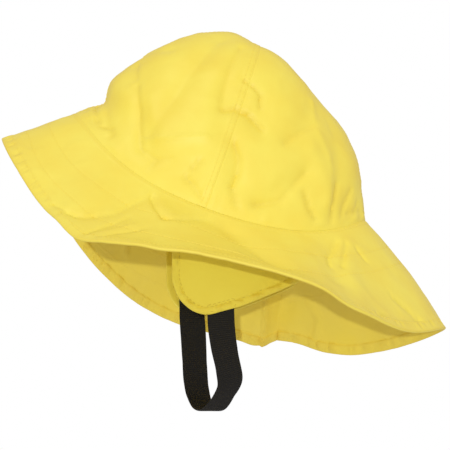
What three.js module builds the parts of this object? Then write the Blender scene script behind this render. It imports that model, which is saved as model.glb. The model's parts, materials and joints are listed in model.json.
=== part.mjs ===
// Sou'wester rain hat of coated cloth: a crown of four gores, a brim that grows longer
// toward the back of the neck, two ear flaps and an elastic chin strap.
// Millimetres, +Z up. The front of the hat points to -X, the wearer's left to -Y.
// The origin is the centre of the head opening, where the head carries the hat.
import * as THREE from 'three';

// Head opening: where crown, brim and ear flaps are sewn together
const OPENING_LENGTH = 232;
const OPENING_WIDTH = 140;
const SIDE_DIP = 44;
const SHOULDER_DIP = 4.5;
const FRONT_RAISE_DEG = 20;

// Crown
const CROWN_HEIGHT = 98.5;
const CROWN_WALL = 1.5;
const GORE_PUFF = 1.2;
const CROWN_FOLD_DEPTH = 4;
const CROWN_FOLD_WIDTH = 10;

// Brim, measured down the cloth from the seam
const BRIM_LENGTH = 101;
const BRIM_WALL = 1.6;
const HEM_WIDTH = 9;
const HEM_WALL = 2.4;
const BRIM_FOLD_DEPTH = 4;
const BRIM_FOLD_WIDTH = 12;

// Ear flaps: two layers of cloth, tucked up inside the crown
const FLAP_DEPTH = 75.5;
const FLAP_WALL = 2.2;
const FLAP_TUCK = 7;
const FLAP_GAP = 0.6;
const FLAP_FRONT_DEG = 77;
const FLAP_BACK_DEG = 147;
const LEFT_FLAP_SWING_DEG = 6;
const RIGHT_FLAP_SWING_DEG = 25;

// Chin strap
const STRAP_WIDTH = 19.5;
const STRAP_WALL = 1.6;
const STRAP_DROP = 68;
const STRAP_SEWN_LENGTH = 13;
const STRAP_GAP = 0.6;
const LEFT_STRAP_SPAN = 0.272;
const RIGHT_STRAP_SPAN = 0.152;

// Clear space between sewn pieces
const SEAM_GAP = 0.3;

// How finely each piece is cut into flat faces
const GORE_COLUMNS = 20;
const GORE_ROWS = 19;
const FLAP_COLUMNS = 14;
const STRAP_STEPS = 44;

// Crown sections from the seam up to the top. "climb" is the share of the way up the cloth,
// outs are shares of half the opening's length or width, ups are shares of the crown's height,
// sideUp is the share of the rise from the bottom of the side dip to the top of the crown.
const CROWN_SECTIONS = table(
  ['climb', 'frontOut', 'frontUp', 'backOut', 'backUp', 'sideOut', 'sideUp', 'ridge'],
  [
    [0.00, 1.000, 0.000, 1.000, 0.000, 1.000, 0.000, 0.000],
    [0.13, 0.867, 0.150, 0.918, 0.194, 0.985, 0.164, 0.000],
    [0.24, 0.858, 0.335, 0.853, 0.350, 0.957, 0.299, 0.000],
    [0.36, 0.774, 0.510, 0.756, 0.497, 0.892, 0.450, 0.005],
    [0.48, 0.672, 0.673, 0.632, 0.623, 0.815, 0.600, 0.010],
    [0.60, 0.548, 0.815, 0.485, 0.717, 0.712, 0.745, 0.016],
    [0.72, 0.410, 0.934, 0.336, 0.817, 0.570, 0.868, 0.021],
    [0.84, 0.253, 1.008, 0.185, 0.915, 0.372, 0.955, 0.026],
    [0.92, 0.140, 1.012, 0.077, 0.950, 0.195, 0.988, 0.029],
    [1.00, 0.031, 0.983, -0.031, 0.983, 0.000, 1.000, 0.031],
  ],
);
const TOP_SHARE = 0.983;

// Brim sections round the seam: 0 is the front, 90 the wearer's left, 180 the back.
// "length" is a share of the brim's length at the back, "slope" the angle below the opening,
// "swing" turns the cloth toward the back, "puff" bows it up by a share of its length.
const BRIM_SECTIONS = table(
  ['angle', 'length', 'slope', 'swing', 'puff'],
  [
    [0, 0.58, 40, 0, 0.00],
    [20, 0.62, 49, -8, 0.00],
    [40, 0.67, 54, -16, 0.00],
    [52, 0.725, 53, -14, -0.01],
    [65, 0.82, 50, -10, -0.03],
    [90, 0.80, 33, 0, -0.05],
    [115, 0.86, 27, 4, -0.05],
    [135, 0.91, 35, 5, -0.03],
    [155, 0.98, 41, 4, 0.00],
    [180, 1.00, 34, 0, 0.03],
    [205, 1.02, 46, -4, 0.03],
    [216, 0.96, 48, -4, 0.03],
    [227, 0.87, 47, -6, 0.03],
    [237, 0.87, 50, -5, 0.03],
    [250, 0.81, 54, -3, 0.03],
    [270, 0.78, 57, 0, 0.03],
    [295, 0.66, 60, 2, 0.03],
    [308, 0.62, 55, 7, 0.01],
    [320, 0.60, 46, 12, 0.00],
    [340, 0.58, 42, 6, 0.00],
  ],
);

// Folds and dents of the crown, from one place on the cloth to another.
// "width" and "depth" are shares of the named fold sizes; a negative depth is a dent.
const CROWN_FOLDS = table(
  ['fromAngle', 'fromClimb', 'toAngle', 'toClimb', 'width', 'depth'],
  [
    [21, 0.38, 45, 0.22, 1.0, -0.7],
    [45, 0.22, 62, 0.09, 0.8, -0.6],
    [32, 0.77, 59, 0.40, 1.6, -0.7],
    [55, 0.15, 79, 0.29, 0.8, 0.5],
    [84, 0.50, 98, 0.45, 1.5, -0.9],
    [118, 0.39, 139, 0.53, 0.9, -0.8],
    [129, 0.34, 141, 0.12, 0.8, 0.7],
    [109, 0.10, 129, 0.25, 0.8, -0.7],
    [91, 0.31, 98, 0.14, 0.8, -0.6],
    [6, 0.12, 31, 0.05, 0.7, -0.7],
    [222, 0.30, 246, 0.12, 1.0, -0.8],
    [262, 0.42, 284, 0.50, 1.4, -0.8],
    [300, 0.20, 322, 0.42, 1.0, -0.7],
    [205, 0.62, 236, 0.50, 1.5, -0.6],
  ],
);

// Folds of the brim. "reach" is the share of the way from the seam to the edge.
const BRIM_FOLDS = table(
  ['fromAngle', 'fromReach', 'toAngle', 'toReach', 'width', 'depth'],
  [
    [69, 0.16, 59, 0.70, 0.9, -0.7],
    [71, 0.12, 80, 0.34, 0.7, 0.5],
    [96, 0.10, 117, 0.97, 1.6, -0.8],
    [138, 0.12, 134, 0.60, 0.8, -0.6],
    [146, 0.12, 140, 0.60, 0.7, 0.5],
    [30, 0.45, 48, 0.96, 1.2, -0.5],
    [238, 0.45, 239, 1.00, 0.6, -0.9],
    [231, 0.55, 232, 1.00, 0.6, 0.7],
    [198, 0.40, 204, 1.00, 1.4, 0.5],
    [280, 0.40, 284, 1.00, 1.4, -0.6],
    [318, 0.30, 326, 1.00, 1.2, -0.4],
  ],
);

// Ear flap outline: depth at each share of the way from its front edge to its back corner
const FLAP_SECTIONS = table(
  ['span', 'depth'],
  [
    [0.00, 0.80],
    [0.03, 0.92],
    [0.07, 0.98],
    [0.13, 1.01],
    [0.20, 0.99],
    [0.29, 0.90],
    [0.40, 0.79],
    [0.52, 0.66],
    [0.66, 0.53],
    [0.78, 0.42],
    [0.88, 0.25],
    [1.00, 0.07],
  ],
);

// Chin strap route from the left flap to the right one. "across" runs from -1 to 1,
// "back" and "down" are shares of the strap's drop, "turn" twists the webbing.
const STRAP_ROUTE = table(
  ['across', 'back', 'down', 'turn'],
  [
    [-1.00, 0.000, 0.000, 0],
    [-0.98, 0.014, 0.190, -2],
    [-0.95, 0.049, 0.400, -12],
    [-0.89, 0.100, 0.600, -24],
    [-0.74, 0.139, 0.745, -30],
    [-0.42, 0.112, 0.906, -34],
    [0.01, 0.080, 1.030, -24],
    [0.46, 0.060, 1.025, -14],
    [0.75, 0.046, 0.930, 0],
    [0.89, 0.031, 0.765, 8],
    [0.94, 0.021, 0.520, 12],
    [0.97, 0.011, 0.240, 4],
    [1.00, 0.000, 0.000, 0],
  ],
);

// Turns rows of numbers into objects with one named value per column
function table(columns, rows) {
  return rows.map((row) => Object.fromEntries(columns.map((name, i) => [name, row[i]])));
}

// Smooth curve through one column of a table, read at any place along its first column
function along(rows, key, column, at) {
  let i = 0;
  while (i < rows.length - 2 && rows[i + 1][key] <= at) i += 1;
  const slope = (k) => {
    const before = rows[Math.max(k - 1, 0)];
    const after = rows[Math.min(k + 1, rows.length - 1)];
    return (after[column] - before[column]) / (after[key] - before[key]);
  };
  const step = rows[i + 1][key] - rows[i][key];
  const u = (at - rows[i][key]) / step;
  const lowPart = (2 * u ** 3 - 3 * u ** 2 + 1) * rows[i][column];
  const highPart = (3 * u ** 2 - 2 * u ** 3) * rows[i + 1][column];
  const lowSlope = (u ** 3 - 2 * u ** 2 + u) * step * slope(i);
  const highSlope = (u ** 3 - u ** 2) * step * slope(i + 1);
  return lowPart + highPart + lowSlope + highSlope;
}

// The same for a table that closes on itself after a full turn
function around(rows, column, angle) {
  const shift = (row, turn) => ({ ...row, angle: row.angle + turn });
  const turned = [shift(rows.at(-1), -360), ...rows, shift(rows[0], 360), shift(rows[1], 360)];
  return along(turned, 'angle', column, ((angle % 360) + 360) % 360);
}

const radians = THREE.MathUtils.degToRad;
const halfLength = OPENING_LENGTH / 2;
const halfWidth = OPENING_WIDTH / 2;
const slant = Math.hypot(halfLength, CROWN_HEIGHT) * 1.05;

// Crown cloth without its folds, in the frame of the head opening
function plainCrown(angle, climb) {
  const section = (column) => along(CROWN_SECTIONS, 'climb', column, climb);
  const c = Math.cos(radians(angle));
  const s = Math.sin(radians(angle));
  const ridge = -section('ridge') * halfLength;
  const frontReach = section('frontOut') * halfLength + ridge;
  const backReach = section('backOut') * halfLength - ridge;
  const x = ridge - (c > 0 ? frontReach : backReach) * c;
  const y = -section('sideOut') * halfWidth * s;
  const frontUp = section('frontUp') * CROWN_HEIGHT;
  const backUp = section('backUp') * CROWN_HEIGHT;
  const sideUp = section('sideUp') * (TOP_SHARE * CROWN_HEIGHT + SIDE_DIP) - SIDE_DIP;
  const middle = (frontUp + backUp) / 2 + ((frontUp - backUp) / 2) * c;
  const shoulder = SHOULDER_DIP * (1 - c / 3) * (2 * s * c) ** 2 * (1 - climb) ** 2;
  const puff = GORE_PUFF * Math.abs(2 * s * c) * Math.sin(Math.PI * climb);
  const z = middle * c * c + sideUp * s * s - shoulder + puff * climb;
  const swell = 1 + puff / halfLength;
  return new THREE.Vector3(x * swell, y * swell, z);
}

// Brim cloth without its folds, in the same frame
function plainBrim(angle, reach) {
  const start = plainCrown(angle, 0);
  const length = around(BRIM_SECTIONS, 'length', angle) * BRIM_LENGTH;
  const slope = radians(around(BRIM_SECTIONS, 'slope', angle));
  const bow = around(BRIM_SECTIONS, 'puff', angle) * length * 4 * reach * (1 - reach);
  const side = Math.sin(radians(angle)) >= 0 ? 1 : -1;
  const swing = side * radians(around(BRIM_SECTIONS, 'swing', angle));
  const heading = outwardHeading(angle) + swing;
  const out = reach * length * Math.cos(slope) + bow * Math.sin(slope);
  const drop = reach * length * Math.sin(slope) - bow * Math.cos(slope);
  return start.add(new THREE.Vector3(Math.cos(heading) * out, Math.sin(heading) * out, -drop));
}

// Level direction straight out from the seam
function outwardHeading(angle) {
  const x = -Math.cos(radians(angle)) / halfLength;
  const y = -Math.sin(radians(angle)) / halfWidth;
  return Math.atan2(y, x);
}

// Height of all folds at a point of the cloth
function foldHeight(point, folds, width, depth) {
  let height = 0;
  for (const fold of folds) {
    const near = fold.line.closestPointToPoint(point, true, new THREE.Vector3());
    const share = near.distanceTo(point) / (fold.width * width);
    height += fold.depth * depth * Math.exp(-share * share);
  }
  return height;
}

const crownFolds = CROWN_FOLDS.map((fold) => {
  const start = plainCrown(fold.fromAngle, fold.fromClimb);
  const end = plainCrown(fold.toAngle, fold.toClimb);
  return { ...fold, line: new THREE.Line3(start, end) };
});

const brimFolds = BRIM_FOLDS.map((fold) => {
  const start = plainBrim(fold.fromAngle, fold.fromReach);
  const end = plainBrim(fold.toAngle, fold.toReach);
  return { ...fold, line: new THREE.Line3(start, end) };
});

// Unit normal of a surface at one place, pointing to the side of the cross product
function normalOf(surface, u, v, stepU, stepV) {
  const acrossU = surface(u + stepU, v).sub(surface(u - stepU, v));
  const acrossV = surface(u, v + stepV).sub(surface(u, v - stepV));
  return acrossU.cross(acrossV).normalize();
}

// Outer face of the crown with its folds, which fade out at the seam and the top
function crownPoint(angle, climb) {
  const point = plainCrown(angle, climb);
  const normal = normalOf(plainCrown, angle, Math.min(climb, 0.97), 0.5, 0.01);
  const fade = THREE.MathUtils.smoothstep(climb, 0, 0.07);
  const height = fade * foldHeight(point, crownFolds, CROWN_FOLD_WIDTH, CROWN_FOLD_DEPTH);
  return point.addScaledVector(normal, height * (1 - climb ** 8));
}

// Upper face of the brim with its folds, which fade out at the seam
function brimPoint(angle, reach) {
  const point = plainBrim(angle, reach);
  const normal = normalOf(plainBrim, angle, reach, 0.5, -0.01);
  const fade = THREE.MathUtils.smoothstep(reach, 0, 0.2);
  const height = fade * foldHeight(point, brimFolds, BRIM_FOLD_WIDTH, BRIM_FOLD_DEPTH);
  return point.addScaledVector(normal, height);
}

// Tips a point of the opening's frame into the worn position
const tip = new THREE.Vector3(0, 1, 0);
function worn(point) {
  return point.applyAxisAngle(tip, radians(FRONT_RAISE_DEG));
}

// Closed shell between two grids of points; "closedRing" joins the last column to the first
function shell(front, back, closedRing) {
  const columns = front.length;
  const rows = front[0].length;
  const positions = [...front.flat(), ...back.flat()].flatMap((p) => [p.x, p.y, p.z]);
  const at = (face, i, j) => face * columns * rows + (i % columns) * rows + j;
  const index = [];
  const quad = (a, b, c, d) => index.push(a, b, c, a, c, d);
  const last = closedRing ? columns : columns - 1;
  for (let i = 0; i < last; i += 1) {
    for (let j = 0; j < rows - 1; j += 1) {
      quad(at(0, i, j), at(0, i + 1, j), at(0, i + 1, j + 1), at(0, i, j + 1));
      quad(at(1, i, j), at(1, i, j + 1), at(1, i + 1, j + 1), at(1, i + 1, j));
    }
    quad(at(0, i, 0), at(1, i, 0), at(1, i + 1, 0), at(0, i + 1, 0));
    quad(at(0, i, rows - 1), at(0, i + 1, rows - 1), at(1, i + 1, rows - 1), at(1, i, rows - 1));
  }
  if (!closedRing) {
    for (let j = 0; j < rows - 1; j += 1) {
      quad(at(0, 0, j), at(0, 0, j + 1), at(1, 0, j + 1), at(1, 0, j));
      quad(at(0, last, j), at(1, last, j), at(1, last, j + 1), at(0, last, j + 1));
    }
  }
  const geometry = new THREE.BufferGeometry();
  geometry.setAttribute('position', new THREE.Float32BufferAttribute(positions, 3));
  geometry.setIndex(index);
  geometry.computeVertexNormals();
  return geometry;
}

// One gore of the crown between two seams a quarter turn apart
function gore(startAngle) {
  const outer = [];
  const inner = [];
  const seamTurn = (angle, climb) => {
    const reach = crownPoint(angle + 0.5, climb).distanceTo(crownPoint(angle - 0.5, climb));
    return Math.min(SEAM_GAP / 2 / reach, 30);
  };
  const firstClimb = SEAM_GAP / slant;
  const lastClimb = 1 - 1.2 / slant;
  for (let i = 0; i <= GORE_COLUMNS; i += 1) {
    outer.push([]);
    inner.push([]);
    for (let j = 0; j <= GORE_ROWS; j += 1) {
      const climb = firstClimb + (lastClimb - firstClimb) * (j / GORE_ROWS);
      const start = startAngle + seamTurn(startAngle, climb);
      const end = startAngle + 90 - seamTurn(startAngle + 90, climb);
      const angle = start + ((end - start) * i) / GORE_COLUMNS;
      const point = crownPoint(angle, climb);
      const normal = normalOf(crownPoint, angle, Math.min(climb, 0.97), 0.5, 0.01);
      outer[i].push(worn(point.clone()));
      inner[i].push(worn(point.addScaledVector(normal, -CROWN_WALL)));
    }
  }
  return shell(outer, inner, false);
}

// The brim, with its cloth folded under along the edge as a hem
function brim() {
  const columns = 4 * GORE_COLUMNS;
  const upper = [];
  const lower = [];
  for (let i = 0; i < columns; i += 1) {
    const angle = (360 * i) / columns;
    const length = around(BRIM_SECTIONS, 'length', angle) * BRIM_LENGTH;
    const hem = 1 - HEM_WIDTH / length;
    const reaches = [0, 0.1, 0.23, 0.38, 0.54, 0.7, hem - 0.015, hem + 0.005, 1 - 1 / length, 1];
    upper.push([]);
    lower.push([]);
    reaches.forEach((reach, j) => {
      const wall = j > 6 ? HEM_WALL : BRIM_WALL;
      const sink = j === reaches.length - 1 ? wall * 0.3 : 0;
      const point = brimPoint(angle, reach);
      const normal = normalOf(brimPoint, angle, reach, 0.5, -0.01);
      upper[i].push(worn(point.clone().addScaledVector(normal, -sink)));
      lower[i].push(worn(point.clone().addScaledVector(normal, sink - wall)));
    });
  }
  return shell(lower, upper, true);
}

// Place on the outer face of an ear flap: "side" is 1 for the left flap and -1 for the right,
// "fall" is the distance below the seam and negative where the flap is tucked into the crown
function flapPoint(side, span, fall) {
  const turn = FLAP_FRONT_DEG + (FLAP_BACK_DEG - FLAP_FRONT_DEG) * span;
  const angle = side > 0 ? turn : 360 - turn;
  const climb = Math.max(-fall, 0) / slant;
  const normal = normalOf(crownPoint, angle, climb, 0.5, 0.01);
  const point = crownPoint(angle, climb).addScaledVector(normal, -CROWN_WALL - FLAP_GAP);
  worn(point);
  const swing = side > 0 ? LEFT_FLAP_SWING_DEG : RIGHT_FLAP_SWING_DEG;
  const below = Math.max(fall, 0);
  point.y += side * below * Math.sin(radians(swing));
  point.z -= below * Math.cos(radians(swing));
  return point;
}

function flapDepth(span) {
  return along(FLAP_SECTIONS, 'span', 'depth', span) * FLAP_DEPTH;
}

function earFlap(side) {
  const outer = [];
  const inner = [];
  const falls = [0, 0.16, 0.34, 0.53, 0.72, 0.88, 1];
  const inward = new THREE.Vector3(0, side, 0);
  for (let i = 0; i <= FLAP_COLUMNS; i += 1) {
    const span = (i / FLAP_COLUMNS) ** 1.35;
    const depth = flapDepth(span);
    const column = [-FLAP_TUCK, ...falls.map((share) => share * depth)];
    outer.push(column.map((fall) => flapPoint(side, span, fall)));
    const skin = column.map((fall) => flapPoint(side, span, fall));
    inner.push(skin.map((point) => point.addScaledVector(inward, FLAP_WALL)));
  }
  return side > 0 ? shell(inner, outer, false) : shell(outer, inner, false);
}

// Where the chin strap lies on the inner face of a flap, some distance above its lower edge
function strapSeat(side, above) {
  const span = side > 0 ? LEFT_STRAP_SPAN : RIGHT_STRAP_SPAN;
  const point = flapPoint(side, span, flapDepth(span) - above);
  point.y += side * (FLAP_WALL + STRAP_GAP + STRAP_WALL / 2);
  return point;
}

// Direction along the flap's face where the strap is sewn to it
function strapAcross(side) {
  const span = side > 0 ? LEFT_STRAP_SPAN : RIGHT_STRAP_SPAN;
  const fall = flapDepth(span) - STRAP_SEWN_LENGTH;
  return flapPoint(side, span + 0.05, fall).sub(flapPoint(side, span - 0.05, fall)).normalize();
}

function chinStrap() {
  const from = strapSeat(1, 0);
  const to = strapSeat(-1, 0);
  const route = STRAP_ROUTE.map((row) => {
    const point = from.clone().lerp(to, (row.across + 1) / 2);
    point.x += row.back * STRAP_DROP;
    point.z -= row.down * STRAP_DROP;
    return point;
  });
  const turns = STRAP_ROUTE.map((row) => row.turn);
  const points = [strapSeat(1, STRAP_SEWN_LENGTH), ...route, strapSeat(-1, STRAP_SEWN_LENGTH)];
  const curve = new THREE.CatmullRomCurve3(points, false, 'centripetal');
  const face = [];
  const reverse = [];
  for (let i = 0; i <= STRAP_STEPS; i += 1) {
    const u = i / STRAP_STEPS;
    const centre = curve.getPoint(u);
    const tangent = curve.getTangent(u);
    const place = u * (points.length - 1) - 1;
    const low = THREE.MathUtils.clamp(Math.floor(place), 0, turns.length - 2);
    const share = THREE.MathUtils.clamp(place - low, 0, 1);
    const turn = radians(THREE.MathUtils.lerp(turns[low], turns[low + 1], share));
    const across = strapAcross(1).lerp(strapAcross(-1), THREE.MathUtils.smoothstep(u, 0.3, 0.7));
    across.addScaledVector(tangent, -across.dot(tangent)).normalize();
    across.applyAxisAngle(tangent, turn).multiplyScalar(STRAP_WIDTH / 2);
    const thick = tangent.clone().cross(across).setLength(STRAP_WALL / 2);
    const edge = (a, b) => centre.clone().addScaledVector(across, a).addScaledVector(thick, b);
    face.push([edge(-1, 1), edge(0, 1), edge(1, 1)]);
    reverse.push([edge(-1, -1), edge(0, -1), edge(1, -1)]);
  }
  return shell(face, reverse, false);
}

const coatedCloth = { color: 0xe9c93c, roughness: 0.45, metalness: 0 };
const webbing = { color: 0x1d1c1a, roughness: 0.85, metalness: 0 };

function piece(name, geometry, material) {
  const mesh = new THREE.Mesh(geometry, new THREE.MeshStandardMaterial({ ...material, name }));
  mesh.name = name;
  return mesh;
}

const hat = new THREE.Group();
hat.name = 'sou_wester_hat';
hat.add(piece('crown_front_left', gore(0), coatedCloth));
hat.add(piece('crown_back_left', gore(90), coatedCloth));
hat.add(piece('crown_back_right', gore(180), coatedCloth));
hat.add(piece('crown_front_right', gore(270), coatedCloth));
hat.add(piece('brim', brim(), coatedCloth));
hat.add(piece('ear_flap_left', earFlap(1), coatedCloth));
hat.add(piece('ear_flap_right', earFlap(-1), coatedCloth));
hat.add(piece('chin_strap', chinStrap(), webbing));

export default hat;
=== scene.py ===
# %% [markdown]
# # A sou'wester rain hat
# The real hat is sewn from coated yellow cloth: a crown of four gores, a brim that grows longer toward
# the neck, two ear flaps and a black elastic chin strap. Every piece of cloth below is a grid of points
# worked out from a few tables, because cloth that is cut and sewn follows its pattern more than it
# follows chance. Geometry Nodes sew the stitches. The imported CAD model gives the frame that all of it
# has to sit in.

# %% Load the frame
import json

import bpy
import numpy as np
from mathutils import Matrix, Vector

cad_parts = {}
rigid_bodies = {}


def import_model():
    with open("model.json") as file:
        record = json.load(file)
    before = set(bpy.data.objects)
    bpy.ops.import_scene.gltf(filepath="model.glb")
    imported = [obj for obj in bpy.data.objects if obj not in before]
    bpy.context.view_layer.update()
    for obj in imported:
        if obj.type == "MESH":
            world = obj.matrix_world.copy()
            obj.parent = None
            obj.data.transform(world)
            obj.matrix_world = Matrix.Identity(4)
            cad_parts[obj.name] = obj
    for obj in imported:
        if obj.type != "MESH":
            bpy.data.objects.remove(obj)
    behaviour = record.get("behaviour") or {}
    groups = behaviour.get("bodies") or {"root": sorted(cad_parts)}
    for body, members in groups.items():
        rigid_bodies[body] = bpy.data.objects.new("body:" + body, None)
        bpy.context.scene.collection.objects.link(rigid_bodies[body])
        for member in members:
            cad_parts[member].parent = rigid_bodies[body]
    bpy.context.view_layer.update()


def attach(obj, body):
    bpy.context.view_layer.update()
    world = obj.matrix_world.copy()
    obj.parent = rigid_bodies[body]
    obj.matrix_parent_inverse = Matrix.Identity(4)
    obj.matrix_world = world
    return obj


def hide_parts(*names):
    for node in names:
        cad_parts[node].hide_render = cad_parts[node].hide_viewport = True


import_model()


# %% [markdown]
# ## Tables that describe the cut of the cloth
# A pattern maker draws sections through a hat at a few heights and a smooth curve through them. The
# same is done here: a table holds the sections, and one function reads a smooth curve at any place
# between them. NumPy reads thousands of places at once, which keeps the script quick.

# %% Read smooth curves out of tables
def table(columns, rows):
    return dict(zip(columns, np.array(rows, float).T))


def along(rows, key, column, at):
    """Smooth curve through one column, read at any places along the key column."""
    keys, values = rows[key], rows[column]
    places = np.arange(len(keys))
    before, after = np.maximum(places - 1, 0), np.minimum(places + 1, len(keys) - 1)
    slopes = (values[after] - values[before]) / (keys[after] - keys[before])
    low = np.clip(np.searchsorted(keys, at, side="right") - 1, 0, len(keys) - 2)
    step = keys[low + 1] - keys[low]
    u = (at - keys[low]) / step
    rise = u * u * (3 - 2 * u)
    bend = (u**3 - 2 * u**2 + u) * slopes[low] + (u**3 - u**2) * slopes[low + 1]
    return (1 - rise) * values[low] + rise * values[low + 1] + step * bend


def around(rows, column, angle):
    """The same for a table that closes on itself after a full turn."""
    angles, values = rows["angle"], rows[column]
    turned = {
        "angle": np.concatenate([angles[-1:] - 360, angles, angles[:2] + 360]),
        column: np.concatenate([values[-1:], values, values[:2]]),
    }
    return along(turned, "angle", column, np.mod(angle, 360))


def matched(*numbers):
    """The same numbers as arrays of one common shape."""
    return np.broadcast_arrays(*[np.asarray(number, float) for number in numbers])


def smoothstep(value, low, high):
    share = np.clip((value - low) / (high - low), 0, 1)
    return share * share * (3 - 2 * share)


def length_of(vectors):
    return np.linalg.norm(vectors, axis=-1)


print("a smooth step at its quarters:", smoothstep(np.array([0, 0.25, 0.5, 0.75, 1]), 0, 1))

# %% [markdown]
# ## The crown and the brim without a fold
# All sizes are in millimetres until the last moment, as a tailor would have them. The head opening is
# an egg that dips at the ears, the crown climbs from it to one point at the top, and the brim leaves
# it at a slope that changes all the way round. A sphere and a ring could be pulled into this shape by
# hand. Here each surface is a function of two numbers, the angle round the head and the share of the
# way along the cloth, so that seams, stitches and flaps can ask it where the cloth is.

# %% Sizes of the hat in millimetres
OPENING_LENGTH, OPENING_WIDTH = 232, 140
SIDE_DIP, SHOULDER_DIP = 44, 4.5
FRONT_RAISE_DEG = 20
CROWN_HEIGHT, CROWN_WALL, GORE_PUFF, TOP_SHARE = 98.5, 1.5, 1.2, 0.983
BRIM_LENGTH, BRIM_WALL, HEM_WIDTH, HEM_WALL = 101, 1.6, 9, 2.4
# a gore bulges, so its cloth is longer than a straight line from the seam to the top
GORE_BULGE = 1.05

CROWN_SECTIONS = table(
    ["climb", "front_out", "front_up", "back_out", "back_up", "side_out", "side_up", "ridge"],
    [
        [0.00, 1.000, 0.000, 1.000, 0.000, 1.000, 0.000, 0.000],
        [0.13, 0.867, 0.150, 0.918, 0.194, 0.985, 0.164, 0.000],
        [0.24, 0.858, 0.335, 0.853, 0.350, 0.957, 0.299, 0.000],
        [0.36, 0.774, 0.510, 0.756, 0.497, 0.892, 0.450, 0.005],
        [0.48, 0.672, 0.673, 0.632, 0.623, 0.815, 0.600, 0.010],
        [0.60, 0.548, 0.815, 0.485, 0.717, 0.712, 0.745, 0.016],
        [0.72, 0.410, 0.934, 0.336, 0.817, 0.570, 0.868, 0.021],
        [0.84, 0.253, 1.008, 0.185, 0.915, 0.372, 0.955, 0.026],
        [0.92, 0.140, 1.012, 0.077, 0.950, 0.195, 0.988, 0.029],
        [1.00, 0.031, 0.983, -0.031, 0.983, 0.000, 1.000, 0.031],
    ],
)
BRIM_SECTIONS = table(
    ["angle", "length", "slope", "swing", "puff"],
    [
        [0, 0.58, 40, 0, 0.00],
        [20, 0.62, 49, -8, 0.00],
        [40, 0.67, 54, -16, 0.00],
        [52, 0.725, 53, -14, -0.01],
        [65, 0.82, 50, -10, -0.03],
        [90, 0.80, 33, 0, -0.05],
        [115, 0.86, 27, 4, -0.05],
        [135, 0.91, 35, 5, -0.03],
        [155, 0.98, 41, 4, 0.00],
        [180, 1.00, 34, 0, 0.03],
        [205, 1.02, 46, -4, 0.03],
        [216, 0.96, 48, -4, 0.03],
        [227, 0.87, 47, -6, 0.03],
        [237, 0.87, 50, -5, 0.03],
        [250, 0.81, 54, -3, 0.03],
        [270, 0.78, 57, 0, 0.03],
        [295, 0.66, 60, 2, 0.03],
        [308, 0.62, 55, 7, 0.01],
        [320, 0.60, 46, 12, 0.00],
        [340, 0.58, 42, 6, 0.00],
    ],
)

half_length, half_width = OPENING_LENGTH / 2, OPENING_WIDTH / 2
slant = np.hypot(half_length, CROWN_HEIGHT) * GORE_BULGE
print("cloth from the seam to the top of the crown, mm:", round(slant, 1))


# %% Crown and brim as functions of two numbers
def plain_crown(angle, climb):
    angle, climb = matched(angle, climb)
    turn = np.radians(angle)
    c, s = np.cos(turn), np.sin(turn)
    read = lambda column: along(CROWN_SECTIONS, "climb", column, climb)
    ridge = -read("ridge") * half_length
    front_reach = read("front_out") * half_length + ridge
    back_reach = read("back_out") * half_length - ridge
    x = ridge - np.where(c > 0, front_reach, back_reach) * c
    y = -read("side_out") * half_width * s
    front_up, back_up = read("front_up") * CROWN_HEIGHT, read("back_up") * CROWN_HEIGHT
    side_up = read("side_up") * (TOP_SHARE * CROWN_HEIGHT + SIDE_DIP) - SIDE_DIP
    middle = (front_up + back_up) / 2 + (front_up - back_up) / 2 * c
    shoulder = SHOULDER_DIP * (1 - c / 3) * (2 * s * c) ** 2 * (1 - climb) ** 2
    puff = GORE_PUFF * np.abs(2 * s * c) * np.sin(np.pi * climb)
    z = middle * c * c + side_up * s * s - shoulder + puff * climb
    swell = 1 + puff / half_length
    return np.stack([x * swell, y * swell, z], axis=-1)


def plain_brim(angle, reach):
    angle, reach = matched(angle, reach)
    turn = np.radians(angle)
    length = brim_length(angle)
    slope = np.radians(around(BRIM_SECTIONS, "slope", angle))
    bow = around(BRIM_SECTIONS, "puff", angle) * length * 4 * reach * (1 - reach)
    side = np.where(np.sin(turn) >= 0, 1, -1)
    swing = side * np.radians(around(BRIM_SECTIONS, "swing", angle))
    heading = np.arctan2(-np.sin(turn) / half_width, -np.cos(turn) / half_length) + swing
    out = reach * length * np.cos(slope) + bow * np.sin(slope)
    drop = reach * length * np.sin(slope) - bow * np.cos(slope)
    away = np.stack([np.cos(heading) * out, np.sin(heading) * out, -drop], axis=-1)
    return plain_crown(angle, 0) + away


def brim_length(angle):
    return around(BRIM_SECTIONS, "length", angle) * BRIM_LENGTH


# %% Directions across the cloth
STEP_DEG, STEP_SHARE, LAST_CLIMB = 0.5, 0.01, 0.97


def normal_of(surface, angle, share, step):
    """Direction straight out of a surface, from short steps on it each way."""
    across = surface(angle + STEP_DEG, share) - surface(angle - STEP_DEG, share)
    ahead = surface(angle, share + step) - surface(angle, share - step)
    normal = np.cross(across, ahead)
    return normal / length_of(normal)[..., None]


def crown_normal(angle, climb, surface=plain_crown):
    """Out of the crown; the very top takes the direction a little below it."""
    return normal_of(surface, angle, np.clip(climb, 0, LAST_CLIMB), STEP_SHARE)


def brim_normal(angle, reach):
    return normal_of(plain_brim, angle, reach, -STEP_SHARE)


ring = np.linspace(0, 360, 721)
seam_length = length_of(np.diff(plain_crown(ring, 0), axis=0)).sum()
edge_length = length_of(np.diff(plain_brim(ring, 1), axis=0)).sum()
print("head opening round the seam, mm:", round(seam_length), "brim edge, mm:", round(edge_length))

# %% [markdown]
# ## Folds, dents and puckers
# Coated cloth remembers how it was packed, so the crown carries sharp valleys and soft dents, and
# every sewn line pulls the cloth into small puckers. A cloth simulation would give other folds than
# the ones this hat has, so each fold is drawn as a short line on the cloth, and the surface moves
# along its own normal near that line. A fold has a width and a depth in millimetres, and it is soft,
# sharp or between the two. One that leans is wide on one side of its line and steep on the other.

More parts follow.
